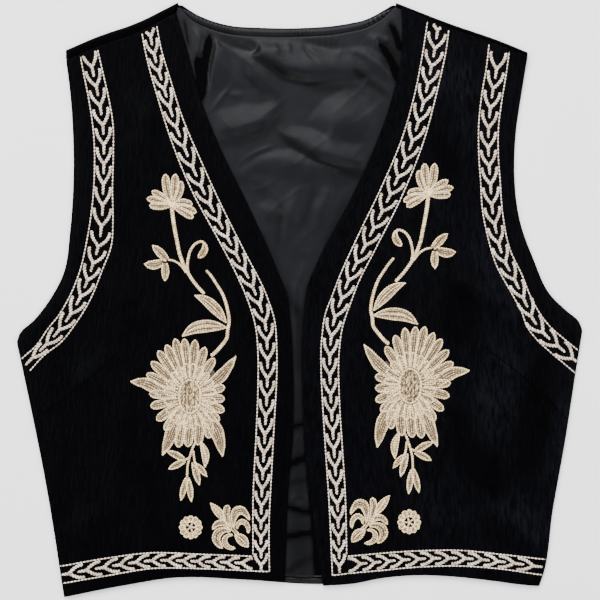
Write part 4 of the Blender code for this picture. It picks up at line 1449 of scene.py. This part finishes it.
def make_floor():
    """A plain pale floor just under the waistcoat."""
    made, tree, shader, place = new_material("floor")
    tone = stretched_noise(tree, place, (6, 6, 6), 2)
    colour = colour_ramp(tree, tone, ((0.3, (0.90, 0.90, 0.90)), (0.7, (0.92, 0.92, 0.92))))
    tree.links.new(colour, shader.inputs["Base Color"])
    shader.inputs["Roughness"].default_value = 0.9
    corners = [(x * FLOOR_REACH * MM, y * FLOOR_REACH * MM, FLOOR_LEVEL * MM)
               for x, y in ((-1, -1), (1, -1), (1, 1), (-1, 1))]
    data = bpy.data.meshes.new("floor")
    data.from_pydata(corners, [], [(0, 1, 2, 3)])
    data.materials.append(made)
    floor = bpy.data.objects.new("floor", data)
    bpy.context.collection.objects.link(floor)


def add_light(name, place, size, power):
    """A square soft light that faces the middle of the waistcoat."""
    data = bpy.data.lights.new(name, "AREA")
    data.size, data.energy = size, power
    lamp = bpy.data.objects.new(name, data)
    lamp.location = place
    bpy.context.collection.objects.link(lamp)
    direction = -lamp.location
    lamp.rotation_euler = direction.to_track_quat("-Z", "Y").to_euler()


def light_scene():
    """Soft lights from past the neck and from the sides, and a pale sky.

    None hangs straight above, where the satin would mirror it into the camera.
    """
    for name, (place, size, power) in LIGHTS.items():
        add_light(name, place, size, power)
    world = bpy.data.worlds.new("sky")
    world.use_nodes = True
    background = world.node_tree.nodes["Background"]
    background.inputs["Color"].default_value = SKY_COLOUR
    background.inputs["Strength"].default_value = SKY_STRENGTH
    bpy.context.scene.world = world


def add_camera():
    """A long lens straight above, with the photograph's scale in its frame."""
    data = bpy.data.cameras.new("camera")
    data.lens, data.sensor_width = LENS, SENSOR_WIDTH
    camera = bpy.data.objects.new("camera", data)
    view_width = PHOTO_WIDTH * PHOTO_SCALE * MM
    level = FOCUS_LEVEL * MM
    middle = at_photo((PHOTO_WIDTH / 2, PHOTO_WIDTH / 2)) * MM
    camera.location = (*middle, level + view_width * data.lens / data.sensor_width)
    bpy.context.collection.objects.link(camera)
    bpy.context.scene.camera = camera


def main():
    """Makes every piece, the floor, the lights and the camera."""
    cloth, satin = outer_cloth(), satin_lining()
    cream, black = embroidery_thread("flower_thread", FLOWER_TINT), black_thread()
    pale = embroidery_thread("band_thread", BAND_TINT)
    fronts = {"right": Front(RIGHT, RIGHT_FOLDS, RIGHT_CREASES, RIGHT_DART, CRINKLE[0], 41),
              "left": Front(LEFT, LEFT_FOLDS, LEFT_CREASES, LEFT_DART, CRINKLE[1], 51)}
    pieces = {"back_cloth": make_back(cloth), "lining": make_lining(satin),
              "neck_strip": make_strip("neck_strip", satin, True),
              "hem_strip": make_strip("hem_strip", satin, False)}
    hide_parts("back_panel")
    for name in ("lining", "neck_strip", "hem_strip"):
        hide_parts("back_lining")
    tables = {"right": (RIGHT_BANDS, RIGHT_CORNER, at_photo, RIGHT_PAINTED_HIGHLIGHT),
              "left": (LEFT_BANDS, LEFT_CORNER, lambda p: at_photo(mirrored(p)), LEFT_PAINTED_HIGHLIGHT)}
    for side, front in fronts.items():
        bands, corner, place, painted_highlight = tables[side]
        panel = pieces[side + "_cloth"] = make_front(side + "_cloth", front, painted_highlight, cloth)
        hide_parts(side + "_front")
        stitching = Stitching(front.top, front.seed + 5)
        for band in bands.values():
            add_band(stitching, front, band)
        stitching.strand(at_photo(curve_line(corner)), LINE_WIDTH, "line")
        pieces[side + "_bands"] = stitching.piece(side + "_bands", pale)
        stitching = Stitching(front.top, front.seed + 7)
        add_flowers(stitching, place)
        pieces[side + "_flowers"] = stitching.piece(side + "_flowers", cream)
    for piece in black_stitches(fronts, black):
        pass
    make_floor()
    light_scene()
    add_camera()


main()
